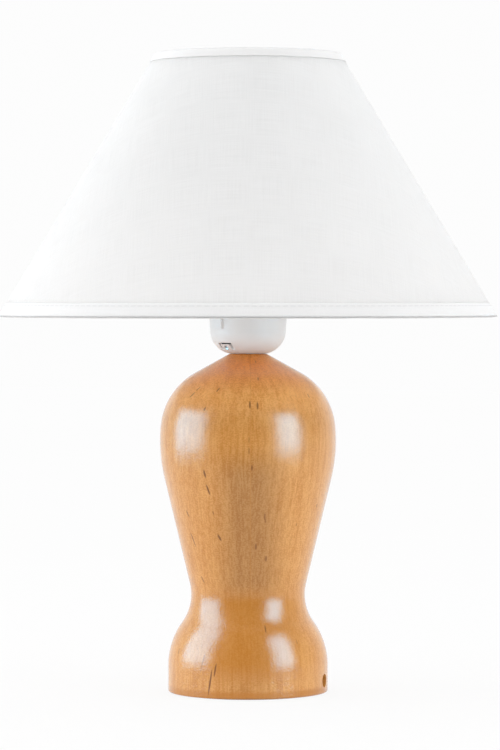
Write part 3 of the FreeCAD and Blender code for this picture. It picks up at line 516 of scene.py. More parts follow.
def make_fleck_group():
    """A slanted dash at an angle and a height, from 1 in its middle to 0 around it."""
    labels = "Angle, Height, Radius, Centre angle, Centre height, Half width, Half length, Lean"
    tree, given = new_tree("fleck", "ShaderNodeTree", {"Float": labels}, {"Float": "Mask"})
    across = (given["Angle"] - given["Centre angle"]) * given["Radius"]
    up = given["Height"] - given["Centre height"]
    across = (across - up * given["Lean"]) / given["Half width"]
    up = up / given["Half length"]
    mask = spread(across * across + up * up, *FLECK_EDGE)
    put(tree, "NodeGroupOutput", {"Mask": mask})
    return tree


fleck_group = make_fleck_group()
print("fleck group nodes:", len(fleck_group.nodes))

# %% [markdown]
# ## The flecks of the photo
#
# Each row is a fleck's column and row in the photo, its length and its width in
# pixels, how far it leans to the right as it rises, and how dark it is. The angle
# round the axis follows from how far the fleck lies from the middle, and from the
# wood's radius at that height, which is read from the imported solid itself. The wood's
# near side stands closer to the camera than its axis, so it shows a little larger,
# and each place is worked out a second and a third time with the depth found.

# %% The flecks of the photo
AXIS_COLUMN = 248.0
EYE_ROW = 296.0
FLECK_WIDENING = 1.5
FLECK_STRENGTH = 1.2
RADIUS_STEP = 0.004
RADIUS_REACH = 0.006
FIRST_RADIUS = 0.04
GAP_RADIUS = 0.03
EDGE_SINE = 0.98
LEAST_COSINE = 0.3
FLECKS = [
    (250, 405, 9, 1.6, 0.0, 0.75), (258, 406, 9, 1.6, 0.0, 0.75), (203, 409, 5, 1.5, 0.2, 0.8),
    (215, 390, 5, 1.5, 0.5, 0.75), (188, 395, 7, 1.5, 0.5, 0.7), (193, 389, 5, 1.4, 0.6, 0.6),
    (204, 474, 10, 1.8, -0.15, 0.85), (207, 490, 13, 1.7, -0.25, 0.85),
    (252, 468, 7, 1.5, 0.0, 0.75), (249, 451, 9, 1.4, 0.0, 0.4), (249, 440, 8, 1.3, 0.0, 0.3),
    (187, 514, 8, 1.5, -0.25, 0.7), (213, 513, 5, 1.3, -0.1, 0.5),
    (265, 517, 9, 1.4, 0.0, 0.6), (266, 521, 6, 1.2, 0.0, 0.5),
    (313, 396, 5, 1.4, 0.0, 0.5), (318, 506, 5, 1.3, 0.0, 0.5), (260, 379, 4, 1.4, 0.1, 0.6),
    (260, 362, 3, 1.4, 0.0, 0.5), (297, 525, 4, 1.2, 0.0, 0.4),
    (193, 540, 17, 1.3, -0.2, 0.7), (219, 538, 8, 2.2, -0.4, 0.8), (256, 547, 8, 1.6, 0.0, 0.7),
    (266, 559, 7, 2.2, 0.0, 0.6), (202, 580, 9, 1.4, -0.3, 0.65), (189, 556, 6, 2.6, -0.3, 0.25),
    (267, 630, 9, 1.3, 0.0, 0.8), (299, 643, 6, 1.6, 0.0, 0.35),
    (210, 683, 32, 1.5, 0.15, 0.85), (215, 671, 17, 1.5, 0.15, 0.8),
    (202, 664, 22, 1.2, 0.18, 0.4), (177, 652, 8, 1.6, 0.1, 0.45),
]


def wood_radius_table():
    """Radius of the wood's outside in steps of height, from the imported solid."""
    mesh = nodes["wood_base"].data
    places = np.zeros(len(mesh.vertices) * 3)
    mesh.vertices.foreach_get("co", places)
    places = places.reshape(-1, 3)
    places = places[np.argsort(places[:, 2])]
    radii = np.hypot(places[:, 0], places[:, 1])
    heights = places[:, 2]
    steps = np.arange(heights[0], heights[-1], RADIUS_STEP)
    near = [radii[np.abs(heights - step) < RADIUS_REACH] for step in steps]
    return steps, np.array([found.max() if found.size else GAP_RADIUS for found in near])


radius_steps, radius_values = wood_radius_table()
fleck_places = []
for column, row, length, width, lean, depth in FLECKS:
    angle = 0.0
    radius = FIRST_RADIUS
    for _ in range(3):
        scale = FOCAL_PIXELS / (EYE_DISTANCE - radius * math.cos(angle))
        height = EYE_HEIGHT - (row - EYE_ROW) / scale
        radius = float(np.interp(height, radius_steps, radius_values))
        sine = (column - AXIS_COLUMN) / scale / radius
        angle = math.asin(max(-EDGE_SINE, min(EDGE_SINE, sine)))
    half = (width * FLECK_WIDENING / scale / 2, length / scale / 2)
    leaned = lean / max(math.cos(angle), LEAST_COSINE)
    fleck_places.append((angle, height, radius, *half, leaned, depth))
print("flecks:", len(fleck_places), "wood height:", round(radius_steps[-1], 4))

# %% [markdown]
# ## The colour of the wood
#
# The two boards meet in a plane that faces the camera edge on, a little right of the
# axis, and a thin line of glue shows there. Each board has its own pith and tone. Both
# are deeper along the glue line over the middle of the height: partly the heart of the
# tree, partly painted shade, as the dark room on the camera's side lights the wood's
# middle less. The shoulder is painted paler, as painted light for the bright inside of
# the shade that it mirrors. The colour goes from pale to deep with the grain. At the
# very top, most on the camera's side, the wood is tinted a deeper orange, and the
# foot's lowest edge is golden. The middle of the foot is golden too: partly lacquer that
# ran together in its hollow, partly painted shade where that lacquer mirrors the dark
# room in front. Heights and distances are in metres. Each row of the tones has its
# share and its range.

# %% The colour of the wood
BOARD_PLANE = 0.0014
BOARD_EDGE = 0.0001
BOARD_PITHS = {
    "left": (view_right * -0.15 + view_near * 0.02, (3.1, 0.0, 1.7)),
    "right": (view_right * 0.17 + view_near * -0.03, (11.7, 5.0, 8.3)),
}
PALE_WOOD = (0.695, 0.335, 0.088)
DEEP_WOOD = (0.520, 0.200, 0.024)
ORANGE_TINT = (1.0, 0.66, 0.18)
GOLDEN_WOOD = (0.470, 0.165, 0.006)
TONES = {"Grain": (0.36, 0.37, 0.64), "Fibre": (0.60, 0.43, 0.57), "Shimmer": (0.18, 0.3, 0.7)}
RIGHT_PALER = 0.10
SHOULDER_PAINTED_LIGHT = (0.148, 0.166, 1.0, 1.25)
HEART_AND_SHADE_ACROSS = (0.026, 0.004)
HEART_AND_SHADE_TOP = (0.142, 0.118)
HEART_AND_SHADE_FOOT = (0.045, 0.066, 0.45, 1.0)
HEART_AND_SHADE_DEPTH = 0.31
GLUE_LINE = (0.0001, 0.0004, 0.30, 0.0)
ORANGE_TOP = (0.162, 0.180)
ORANGE_NEAR = (0.0, 0.022, 0.35, 1.0)
GOLDEN_EDGE = (0.0055, 0.0030)
GOLDEN_FOOT = (0.006, 0.016)
GOLDEN_FOOT_TOP = (0.062, 0.049, 0.0, 0.82)
GOLDEN_ACROSS = (0.034, 0.014, 0.15, 1.0)
GOLDEN_SHARE = 0.75


def wood_colour(place, height, side, near):
    """The two boards and their glue line, with orange and golden tints, painted shade and
    painted light.
    """
    boards = [use(place.tree, board_group, Place=place, Pith=tuple(pith), Shift=shift)
              for pith, shift in BOARD_PITHS.values()]
    right = spread(side, BOARD_PLANE - BOARD_EDGE, BOARD_PLANE + BOARD_EDGE)
    parts = [spread(mix(right, boards[0][name], boards[1][name]), low, high) * share
             for name, (share, low, high) in TONES.items()]
    tone = (parts[0] + parts[1] + parts[2]).reckon("SUBTRACT", right * RIGHT_PALER, clamp=True)
    colour = blend(tone, PALE_WOOD, DEEP_WOOD)
    # The shoulder is painted paler: painted light for the bright inside of the shade that it
    # mirrors.
    colour = tint(colour, spread(height, *SHOULDER_PAINTED_LIGHT))

    apart = (side - BOARD_PLANE).reckon("ABSOLUTE")
    # Along the glue line the wood is darker: partly heartwood, partly painted shade from the
    # dark room in front.
    heart_and_shade = spread(apart, *HEART_AND_SHADE_ACROSS) * spread(height, *HEART_AND_SHADE_TOP)
    heart_and_shade = heart_and_shade * spread(height, *HEART_AND_SHADE_FOOT)
    colour = tint(colour, 1.0 - heart_and_shade * HEART_AND_SHADE_DEPTH)
    colour = blend(spread(apart, *GLUE_LINE), colour, DEEP_WOOD)

    top = spread(height, *ORANGE_TOP) * spread(near, *ORANGE_NEAR)
    colour = blend(top, colour, ORANGE_TINT, "MULTIPLY")
    # The middle of the foot is golden partly from lacquer pooled in the hollow, partly as
    # painted shade where it mirrors the dark room.
    foot = spread(height, *GOLDEN_FOOT) * spread(height, *GOLDEN_FOOT_TOP)
    foot = foot * spread(apart, *GOLDEN_ACROSS)
    golden = spread(height, *GOLDEN_EDGE).reckon("MAXIMUM", foot) * GOLDEN_SHARE
    return blend(golden, colour, GOLDEN_WOOD)


# %% [markdown]
# ## Where the flecks lie
#
# One mask holds all the flecks, and the darkest one wins where two meet. The wood is
# also cut into long cells, of which only a few get a dash in their middle. In front
# these dashes fade to about an eighth, because the photo's own flecks are there.

# %% Where the flecks lie
SPECK_SCALES = (170.0, 170.0, 21.0)
SPECK_EDGE = (0.055, 0.10, 1.0, 0.0)
SPECK_RARE = (0.80, 0.84)
SPECK_IN_FRONT = (0.004, 0.012, 1.0, 0.12)
SPECK_DEPTH = 0.7


def fleck_marks(place, height, side, near):
    """The placed flecks in front, and sparse ones from cells, which are faint there."""
    cells = put(place.tree, "ShaderNodeTexVoronoi", {
        "Vector": stretch(place, SPECK_SCALES), "Scale": 1.0, "Randomness": 1.0}, feature="F1")
    picked = put(place.tree, "ShaderNodeSeparateColor", {0: cells["Color"]})[0]
    sparse = spread(cells["Distance"], *SPECK_EDGE) * spread(picked, *SPECK_RARE)
    marks = sparse * spread(near, *SPECK_IN_FRONT) * SPECK_DEPTH
    angle = side.reckon("ARCTAN2", near)
    for spot, up, radius, half_width, half_length, lean, depth in fleck_places:
        mask = use(place.tree, fleck_group, Angle=angle, Height=height, Radius=radius,
                   Centre_angle=spot, Centre_height=up, Half_width=half_width,
                   Half_length=half_length, Lean=lean)["Mask"]
        marks = marks.reckon("MAXIMUM", mask * min(1.0, depth * FLECK_STRENGTH))
    return marks


# %% [markdown]
# ## Lacquered wood
#
# The lacquer is a clear coat over the colour, nearly smooth, with the slight ripple
# that a sprayed coat keeps. The ripple goes to both normals, the wood's and the
# coat's, so that the bright pictures of the soft boxes waver at their edges.

# %% Lacquered wood
FLECK_BROWN = (0.200, 0.064, 0.001)
RIPPLE_NOISE = (55.0, 2.0, 0.4)
ORANGE_PEEL_NOISE = (950.0, 2.0, 0.6)
ORANGE_PEEL = 0.60
LACQUER_RIPPLE = 0.00022


def make_lacquered_wood():
    """Two boards under a clear coat, with flecks and a glue line."""
    material, shader, place = new_finish(
        "lacquered_wood", Roughness=0.42, Coat_Weight=1.0, Coat_Roughness=0.13,
        Coat_IOR=1.5, Specular_IOR_Level=0.18)
    where = (place, along(place, (0, 0, 1)), along(place, view_right), along(place, view_near))
    colour = blend(fleck_marks(*where), wood_colour(*where), FLECK_BROWN)
    shader.feed({"Base Color": colour})
    ripple = noise(place, *ORANGE_PEEL_NOISE) * ORANGE_PEEL + noise(place, *RIPPLE_NOISE)
    relief(shader, ripple, LACQUER_RIPPLE, sockets=("Normal", "Coat Normal"))
    return material


finishes = {"lacquered_wood": make_lacquered_wood()}
print("lacquered wood has", len(finishes["lacquered_wood"].node_tree.nodes), "nodes")

# %% [markdown]
# ## Woven cloth
#
# The shade is a fine plain weave of bleached cotton glued on white sheet. A plain
# weave is two sets of ridges that pass over and under each other like a chessboard.
# The group takes the cloth's own flat coordinates in metres, and gives the height of
# the threads and a faint tone: uneven, because no two threads are spun alike, and with
# painted shade in the hollows between the threads. The hem tapes and the sewing thread
# use the same group with other numbers. Each cloth has its colour, its threads' pitch,
# how uneven they are, the depth of its relief, and what share of the light it lets
# through.

# %% The weave group
OVER_UNDER = 0.4
SLUB_NOISES = (((2200.0, 45.0, 1.0), 1.0), ((45.0, 2200.0, 1.0), 1.0))
WEAVE_HOLLOW_PAINTED_SHADE = (0.0, 1.0, 0.94, 1.0)
WEAVE_RELIEF = 0.6
HANDLING_NOISE = (9.0, 3.0)
CLOTHS = {
    "shade_fabric": ((0.968, 0.970, 0.972), 0.00042, 0.10, 0.00008, 0.55),
    "hem_tape": ((0.768, 0.763, 0.760), 0.00055, 0.08, 0.00010),
    "sewing_thread": ((0.68, 0.68, 0.68), 0.0004, 0.05, 0.00005),
}


def make_weave_group():
    """Plain weave on flat coordinates, with threads of a given pitch."""
    tree, given = new_tree("weave", "ShaderNodeTree", {"Vector": "Flat", "Float": "Pitch, Slub"},
                           {"Float": "Height, Tone"})
    parts = split(given["Flat"])
    waves = [(parts[axis] / given["Pitch"] * math.pi).reckon("SINE") for axis in "XY"]
    crossed = waves[0] * waves[1]
    over = waves[0].reckon("ABSOLUTE") * spread(crossed, -OVER_UNDER, OVER_UNDER)
    under = waves[1].reckon("ABSOLUTE") * spread(crossed, OVER_UNDER, -OVER_UNDER)
    height = over.reckon("MAXIMUM", under)
    uneven = [noise(given["Flat"], *slubs) for slubs in SLUB_NOISES]
    # The hollows between the threads are painted a little darker, as painted shade.
    tone = (uneven[0] + uneven[1] - 1.0) * given["Slub"] + spread(height, *WEAVE_HOLLOW_PAINTED_SHADE)
    put(tree, "NodeGroupOutput", {"Height": height, "Tone": tone})
    return tree


def make_cloth(name, colour, pitch, slub, depth, passing=0.0):
    """A matt woven cloth that reads its own flat UV map."""
    material, shader, place = new_finish(
        name, Roughness=0.88, Specular_IOR_Level=0.12, Sheen_Weight=0.08,
        Sheen_Roughness=0.5)
    flat = put(place.tree, "ShaderNodeUVMap", uv_map="flat")["UV"]
    woven = use(place.tree, weave_group, Flat=flat, Pitch=pitch, Slub=slub)
    handled = spread(noise(place, *HANDLING_NOISE), *CLOUDY)
    toned = tint(colour, woven["Tone"].reckon("MULTIPLY", handled, clamp=True))
    shader.feed({"Base Color": toned})
    relief(shader, woven["Height"], depth, WEAVE_RELIEF)
    if passing:
        let_through(shader, toned, passing)
    return material


weave_group = make_weave_group()
for name, numbers in CLOTHS.items():
    finishes[name] = make_cloth(name, *numbers)
print("cloths:", list(CLOTHS))

# %% [markdown]
# ## Moulded and painted surfaces
#
# Moulded plastic, powder paint and fired clay share one look at close range: a tone
# that varies by a percent or two, a fine pebbled skin, and a gloss that isn't even.
# One group gives the three. Each finish has its colour, how fine its grit is, its
# roughness, the depth of its relief, and what share of light it lets through.

# %% The skin group
TONE_NOISE = (60.0, 3.0)
TONE_RANGE = (0.3, 0.7)
TONE_DEPTH = 0.04
GLOSS_NOISE = (220.0, 4.0)
GLOSS_DEPTH = 0.12
SKINS = {
    "white_plastic": ((0.87, 0.87, 0.87), 900.0, 0.58, 0.00002),
    "ring_nut_plastic": ((0.82, 0.82, 0.81), 900.0, 0.30, 0.00003),
    "white_wire_paint": ((0.80, 0.80, 0.79), 1400.0, 0.38, 0.00006),
    "liner_plastic": ((0.97, 0.97, 0.965), 2500.0, 0.55, 0.00002, 0.75),
    "block_ceramic": ((0.74, 0.70, 0.62), 1800.0, 0.62, 0.00005),
    "black_insulator": ((0.018, 0.018, 0.020), 1200.0, 0.20, 0.00002),
    "bulb_plastic": ((0.82, 0.82, 0.81), 1500.0, 0.42, 0.00003),
    "opal_plastic": ((0.86, 0.86, 0.83), 2600.0, 0.50, 0.00002),
}


def make_skin_group():
    """Uneven tone, gloss and fine relief of a moulded or painted skin."""
    tree, given = new_tree("skin", "ShaderNodeTree", {"Vector": "Place", "Float": "Grit, Gloss"},
                           {"Float": "Tone, Roughness, Height"})
    tone = 1.0 - spread(noise(given["Place"], *TONE_NOISE), *TONE_RANGE) * TONE_DEPTH
    gloss = (noise(given["Place"], *GLOSS_NOISE) - 0.5) * GLOSS_DEPTH + given["Gloss"]
    grit = noise(given["Place"], given["Grit"])
    put(tree, "NodeGroupOutput", {"Tone": tone, "Roughness": gloss, "Height": grit})
    return tree


def dress(shader, colour, look, depth):
    """Gives a shader the tone, roughness and relief of a group, and returns its colour."""
    toned = tint(colour, look["Tone"])
    shader.feed({"Base Color": toned, "Roughness": look["Roughness"]})
    relief(shader, look["Height"], depth)
    return toned


def make_skin(name, colour, grit, gloss, depth, passing=0.0):
    """A moulded or painted finish."""
    material, shader, place = new_finish(name)
    look = use(place.tree, skin_group, Place=place, Grit=grit, Gloss=gloss)
    toned = dress(shader, colour, look, depth)
    if passing:
        let_through(shader, toned, passing)
    return material


skin_group = make_skin_group()
for name, numbers in SKINS.items():
    finishes[name] = make_skin(name, *numbers)
print("skins:", len(SKINS))

# %% [markdown]
# ## Metals
#
# The tube, the nut and the contacts are turned, stamped or plated metal. A tool that
# goes round the axis leaves fine rings, so the group counts rings from the distance
# to the axis and the height together, and adds the cloudy bloom of thin plating.
# Each metal has its colour, how fine its rings are, its bloom and how worn it is.

# %% The turned metal group
TOOL_NOISE = (1.0, 3.0, 0.6)
RING_ROUGHNESS = 0.16
BLOOM_NOISE = (130.0, 4.0, 0.6)
BLOOM_RANGE = (0.35, 0.7)
BLOOM_ROUGHNESS = 0.8
METAL_RELIEF = 0.00001
METALS = {
    "zinc_steel": ((0.56, 0.57, 0.58), 2600.0, 0.22, 0.12),
    "screw_steel": ((0.72, 0.71, 0.68), 3000.0, 0.12, 0.40),
    "brass": ((0.76, 0.56, 0.24), 2600.0, 0.15, 0.12),
    "contact_brass": ((0.78, 0.54, 0.26), 2600.0, 0.12, 0.12),
    "shell_metal": ((0.68, 0.66, 0.60), 2200.0, 0.15, 0.12),
    "solder": ((0.55, 0.55, 0.56), 1600.0, 0.30, 0.12),
    "cap_metal": ((0.72, 0.71, 0.68), 2400.0, 0.12, 0.12),
}


def make_turned_group():
    """Fine tool rings and a cloudy bloom on plated metal."""
    tree, given = new_tree(
        "turned", "ShaderNodeTree", {"Vector": "Place", "Float": "Rings, Bloom, Wear"},
        {"Float": "Tone, Roughness, Height"})
    parts = split(given["Place"])
    travel = from_axis(parts) + parts["Z"]
    rings = noise(join(tree, X=travel * given["Rings"]), *TOOL_NOISE)
    bloom = spread(noise(given["Place"], *BLOOM_NOISE), *BLOOM_RANGE) * given["Bloom"]
    rough = rings * RING_ROUGHNESS + bloom * BLOOM_ROUGHNESS + given["Wear"]
    put(tree, "NodeGroupOutput", {"Tone": 1.0 - bloom, "Roughness": rough, "Height": rings})
    return tree


turned_group = make_turned_group()
for name, (colour, rings, bloom, wear) in METALS.items():
    finishes[name], shader, place = new_finish(name, Metallic=1.0)
    worked = use(place.tree, turned_group, Place=place, Rings=rings, Bloom=bloom, Wear=wear)
    dress(shader, colour, worked, METAL_RELIEF)
print("metals:", len(METALS))

# %% [markdown]
# ## Felt and circuit boards
#
# The disc under the foot is pressed wool: short fibres lie every way, so its relief
# is fine noise in two crossed directions and its tone is flecked. The driver board in
# the bulb is green with paler copper runs under the mask, and the light board is white.

# %% Felt and circuit boards
HAIR_NOISES = (((1900.0, 500.0, 900.0), 3.0, 0.7), ((450.0, 2100.0, 900.0), 3.0, 0.7))
FELT_RANGE = (0.4, 0.75)
FELT_RELIEF = 0.0004
FELT_DARK = (0.018, 0.030, 0.020)
FELT_PALE = (0.060, 0.085, 0.062)
COPPER_SCALE = 160.0
COPPER_WIDTH = 0.06
BOARD_SPECK_SCALE = 700.0
BOARD_SPECK = (0.35, 0.65, 0.92, 1.0)
BOARD_RELIEF = 0.00004
BOARDS = {
    "board": ((0.022, 0.110, 0.040), (0.060, 0.230, 0.080)),
    "led_board": ((0.74, 0.75, 0.75), (0.66, 0.67, 0.68)),
}


def make_felt():
    """Pressed wool felt."""
    material, shader, place = new_finish(
        "felt", Roughness=0.95, Specular_IOR_Level=0.1, Sheen_Weight=0.3,
        Sheen_Roughness=0.6)
    hairs, crossed = [noise(place, *pattern) for pattern in HAIR_NOISES]
    matted = hairs.reckon("MAXIMUM", crossed)
    shader.feed({"Base Color": blend(spread(matted, *FELT_RANGE), FELT_DARK, FELT_PALE)})
    relief(shader, matted, FELT_RELIEF)
    return material


def make_board_finish(name, mask_colour, copper_colour):
    """A circuit board with runs of copper under its coloured mask."""
    material, shader, place = new_finish(name, Roughness=0.38)
    runs = put(place.tree, "ShaderNodeTexBrick", {
        "Vector": place, "Scale": COPPER_SCALE, "Mortar Size": COPPER_WIDTH,
        "Color1": (0, 0, 0), "Color2": (0, 0, 0), "Mortar": (1, 1, 1)})["Color"]
    speck = spread(noise(place, BOARD_SPECK_SCALE), *BOARD_SPECK)
    shader.feed({"Base Color": tint(blend(runs, mask_colour, copper_colour), speck)})
    relief(shader, runs, BOARD_RELIEF)
    return material


finishes["felt"] = make_felt()
for name, colours in BOARDS.items():
    finishes[name] = make_board_finish(name, *colours)
print("finishes:", len(finishes))

# %% [markdown]
# ## Dressing the solids
#
# The rigid parts keep their solids, whose shapes are right, and only get a finish.
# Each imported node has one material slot, named in the record, so the finish is
# looked up by that name.

# %% Dressing the solids
slot_of = {part["node"]: part["material_slot"] for part in frame["record"]["subparts"]}
for name, node in nodes.items():
    node.data.materials.clear()
    node.data.materials.append(finishes[slot_of[name]])
print("dressed nodes:", len(nodes))

# %% [markdown]
# ## Measures of the cone
#
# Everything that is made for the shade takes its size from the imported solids: the
# hem's box gives the lower edge, the height and the widest radius, and the wire
# rings' boxes give the wires that the hems fold over. Inside the cone a layer lies
# at some depth under the surface, measured square to it.

# %% Measures of the cone
MM = 0.001
hem_low, hem_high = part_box("bottom_hem")
top_low, top_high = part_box("top_hem")
EDGE_HEIGHT = hem_low.z
CONE_HEIGHT = top_high.z - hem_low.z
EDGE_RADIUS = hem_high.x
LOW_TAPE_WIDTH = hem_high.z - hem_low.z
HIGH_TAPE_WIDTH = top_high.z - top_low.z
TAPE = 0.23 * MM
CLOTH_DEPTH = 0.25 * MM
CLOTH_THICKNESS = 0.55 * MM
WIRE_CLEARANCE = 0.08 * MM


def ring_measure(name):
    """Radius of a wire ring's middle line, its height and the wire's own radius."""
    low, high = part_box(name)
    wire = (high.z - low.z) / 2
    return high.x - wire, (high.z + low.z) / 2, wire


low_ring, low_ring_height, wire_radius = ring_measure("bottom_wire_ring")
high_ring, high_ring_height, _ = ring_measure("top_wire_ring")
cone_lean = (low_ring - high_ring) / (high_ring_height - low_ring_height)
cone_cosine = 1 / math.sqrt(1 + cone_lean ** 2)
cone_sine = cone_lean * cone_cosine


def cone_radius(height, depth=0.0):
    """Radius of the cone at a height over its lower edge, at a depth under its skin."""
    return EDGE_RADIUS - height * cone_lean - depth / cone_cosine


print("cone height", round(CONE_HEIGHT, 4), "radii", round(EDGE_RADIUS, 4),
      round(cone_radius(CONE_HEIGHT), 4), "lean", round(cone_lean, 4))

# %% [markdown]
# ## Joining loops into a shell
#
# Cloth, lap and tapes are thin closed shells. One helper takes loops of points that
# stand side by side in a ring and joins each to the next. A loop that goes out along
# the outer skin and back along the inner one gives a shell its real thickness. Each
# corner also gets its place on a flat UV map in metres, so that the weave keeps its
# real size. The faces must point outwards. The volume that they enclose tells it: it
# comes out below zero where they point inwards, and then they are turned round.

# %% Joining loops into a shell
def make_shell(name, loops, material, flat_of, capped=False):
    """Joins loops into a closed shell. Loops close on themselves or end in caps."""
    count = len(loops)
    size = len(loops[0])
    cells = [[(i, k), (i + 1, k), (i + 1, k + 1), (i, k + 1)]
             for i in range(count) for k in range(size - capped)]
    if capped:
        cells += [[(i, k), (i + 1, k), (count - 2 - i, k), (count - 1 - i, k)][::order]
                  for k, order in ((0, -1), (size - 1, 1)) for i in range(count // 2 - 1)]
    faces = [[i % count * size + k % size for i, k in cell] for cell in cells]
    flat = [flat_of(*corner, *cell[0]) for cell in cells for corner in cell]

    mesh = bpy.data.meshes.new(name)
    mesh.from_pydata([point for loop in loops for point in loop], [], faces)
    mesh.materials.append(material)
    layer = mesh.uv_layers.new(name="flat")
    layer.data.foreach_set("uv", np.asarray(flat, np.float32).ravel())
    mesh.polygons.foreach_set("use_smooth", [True] * len(faces))
    mesh.update()
    volume = sum(face.area * face.normal.dot(face.center) for face in mesh.polygons) / 3
    if volume < 0:
        mesh.flip_normals()
    print(name, "faces:", len(faces), "volume in cubic mm:", round(abs(volume) / MM ** 3),
          "turned round:", volume < 0)
    return add_object(name, mesh)


def at_angle(radius, angle, height):
    """A point at a radius and an angle round the axis."""
    return radius * math.cos(angle), radius * math.sin(angle), height


# %% [markdown]
# ## The cloth of the shade
#
# The cloth is cut as a fan, glued on the white sheet and rolled up into a cone, so
# it is stretched smooth. It is modelled as one thin shell with a slight unevenness
# of a few hundredths of a millimetre, which real lamination has and which keeps the
# light on it alive. Its UV map is the flat fan: a cone opens into a fan, so the angle
# shrinks by the sine of the cone's slope and the distance is measured from the
# cone's tip. The seam lies behind.

# %% The cloth of the shade
AROUND = 360
CLOTH_ROWS = 40
HEM_FOLD = 0.43 * MM
CLOTH_BULGE = 0.03 * MM
CLOTH_WAVES = (3, 5, 8, 13)
BACK_ANGLE = math.atan2(-view_near.y, -view_near.x)


def wavy(angles, amplitude, waves, seed):
    """A smooth random wave round the circle."""
    own = np.random.default_rng(seed)
    total = np.zeros(len(angles))
    for number in waves:
        total += own.uniform(0.5, 1.0) * np.sin(number * angles + own.uniform(0, 2 * math.pi))
    return amplitude * total / math.sqrt(len(waves))


def make_cloth_cone():
    """The woven cone, with its flat pattern as UV map."""
    angles = np.linspace(0, 2 * math.pi, AROUND, endpoint=False) + BACK_ANGLE
    heights = np.linspace(HEM_FOLD, CONE_HEIGHT - HEM_FOLD, CLOTH_ROWS)
    uneven = wavy(angles, CLOTH_BULGE, CLOTH_WAVES, 11)
    rows = range(CLOTH_ROWS)
    path = [(row, CLOTH_DEPTH) for row in rows]
    path += [(row, CLOTH_DEPTH + CLOTH_THICKNESS) for row in reversed(rows)]
    loops = []
    for angle, bulge in zip(angles, uneven):
        radii = [cone_radius(heights[row], depth) + bulge * math.sin(math.pi * row / rows[-1])
                 for row, depth in path]
        loops.append([at_angle(radius, angle, EDGE_HEIGHT + heights[row])
                      for radius, (row, _) in zip(radii, path)])

    def flat_of(i, k, *_):
        """Distance from the fan's tip, and the angle shrunk by the slope."""
        reach = cone_radius(heights[path[k % len(path)][0]]) / cone_sine
        turned = (i * 2 * math.pi / AROUND - math.pi) * cone_sine
        return reach * math.sin(turned), -reach * math.cos(turned)

    return make_shell("shade_cloth", loops, finishes["shade_fabric"], flat_of)


cloth = make_cloth_cone()

# %% [markdown]
# ## The lap at the back
#
# Where the fan's two straight edges meet, one edge laps over the other and is glued
# down. The lap faces away from the camera, as a shade is set up in a shop. It is a
# strip as wide as a finger's tip, which runs from one tape to the other. Its long
# edges are pressed thin, so they fade into the cloth under them.

# %% The lap at the back
LAP_HALF = 5.0 * MM
LAP_TOP_DEPTH = 0.05 * MM
LAP_LOW_DEPTH = 0.23 * MM
LAP_EDGE = 0.02 * MM
LAP_END_GAP = 0.3 * MM
LAP_STEPS = 9
LAP_ROWS = 48


def make_lap():
    """A thin closed strip along the back of the cone."""
    heights = np.linspace(LOW_TAPE_WIDTH + LAP_END_GAP,
                          CONE_HEIGHT - HIGH_TAPE_WIDTH - LAP_END_GAP, LAP_ROWS)
    across = np.linspace(-1, 1, LAP_STEPS)
    top = LAP_TOP_DEPTH + (LAP_LOW_DEPTH - LAP_TOP_DEPTH - LAP_EDGE) * np.abs(across) ** 6
    section = list(zip(across, top)) + [(step, LAP_LOW_DEPTH) for step in across[::-1]]
    loops = []
    for step, depth in section:
        radii = [cone_radius(height, depth) for height in heights]
        loops.append([at_angle(radius, BACK_ANGLE + step * LAP_HALF / radius,
                               EDGE_HEIGHT + height) for radius, height in zip(radii, heights)])

    def flat_of(i, k, *_):
        return section[i % len(section)][0] * LAP_HALF, cone_radius(heights[k]) / cone_sine

    return make_shell("shade_lap", loops, finishes["shade_fabric"], flat_of, capped=True)


lap = make_lap()

# %% [markdown]
# ## The path of a tape
#
# Each edge of the cone is bound with a woven tape. It lies on the outside, turns
# round the wire ring and comes back up inside. The fold is rounded, because the tape
# goes round the edge of the glued sheet and then round the wire, and that rounding
# is the grey line under the shade in the photo. The path is the section of the tape,
# written from the edge of the cone inwards, so that one function serves both hems.

# %% The path of a tape
INNER_LEAF = 5.0 * MM
FOLD_START = 2.1 * MM
FOLD_BEND = 0.1 * MM
FOLD_END = 0.5 * MM
FOLD_FIRST = 0.12
SIDE_STEPS = 7
BEND_STEPS = 8
LEAF_STEPS = 5
FIXED_POINTS = 16
FREE_POINTS = 10


def lengths_along(line):
    """How far along a line of points each point lies."""
    return np.concatenate([[0], np.cumsum(np.hypot(*np.diff(line, axis=0).T))])


def hem_path(outer, wire_place, wrap, leaf_width, reach):
    """Middle line of the tape from its outer edge, round the fold, to its inner edge."""
    line = [(outer(rise), rise) for rise in np.linspace(leaf_width, FOLD_START, SIDE_STEPS)]
    corners = (line[-1], (outer(FOLD_BEND), 0.0), (wire_place + FOLD_END, 0.0))
    for share in np.linspace(FOLD_FIRST, 1.0, BEND_STEPS):
        keep = 1 - share
        line.append(tuple(keep * keep * a + 2 * keep * share * b + share * share * c
                          for a, b, c in zip(*corners)))
    for turned in np.linspace(0, math.radians(90), BEND_STEPS)[1:]:
        line.append((wire_place - wrap * math.sin(turned), wrap * (1 - math.cos(turned))))
    line += [(wire_place - wrap, rise)
             for rise in np.linspace(wrap, INNER_LEAF, LEAF_STEPS)[1:]]
    line = np.array(line)
    steps = lengths_along(line)
    fixed = steps[:FIXED_POINTS]
    rest = np.linspace(fixed[-1], steps[-1] - reach, FREE_POINTS)[1:]
    wanted = np.concatenate([fixed, rest])
    return np.stack([np.interp(wanted, steps, line[:, axis]) for axis in (0, 1)], axis=1)


def thicken(line, thickness):
    """Closes an open line into a thin loop, with the second skin on its inner side."""
    ahead = np.gradient(line, axis=0)
    ahead /= np.hypot(*ahead.T)[:, None]
    inward = np.stack([ahead[:, 1], -ahead[:, 0]], axis=1)
    return np.concatenate([line, (line + inward * thickness)[::-1]])


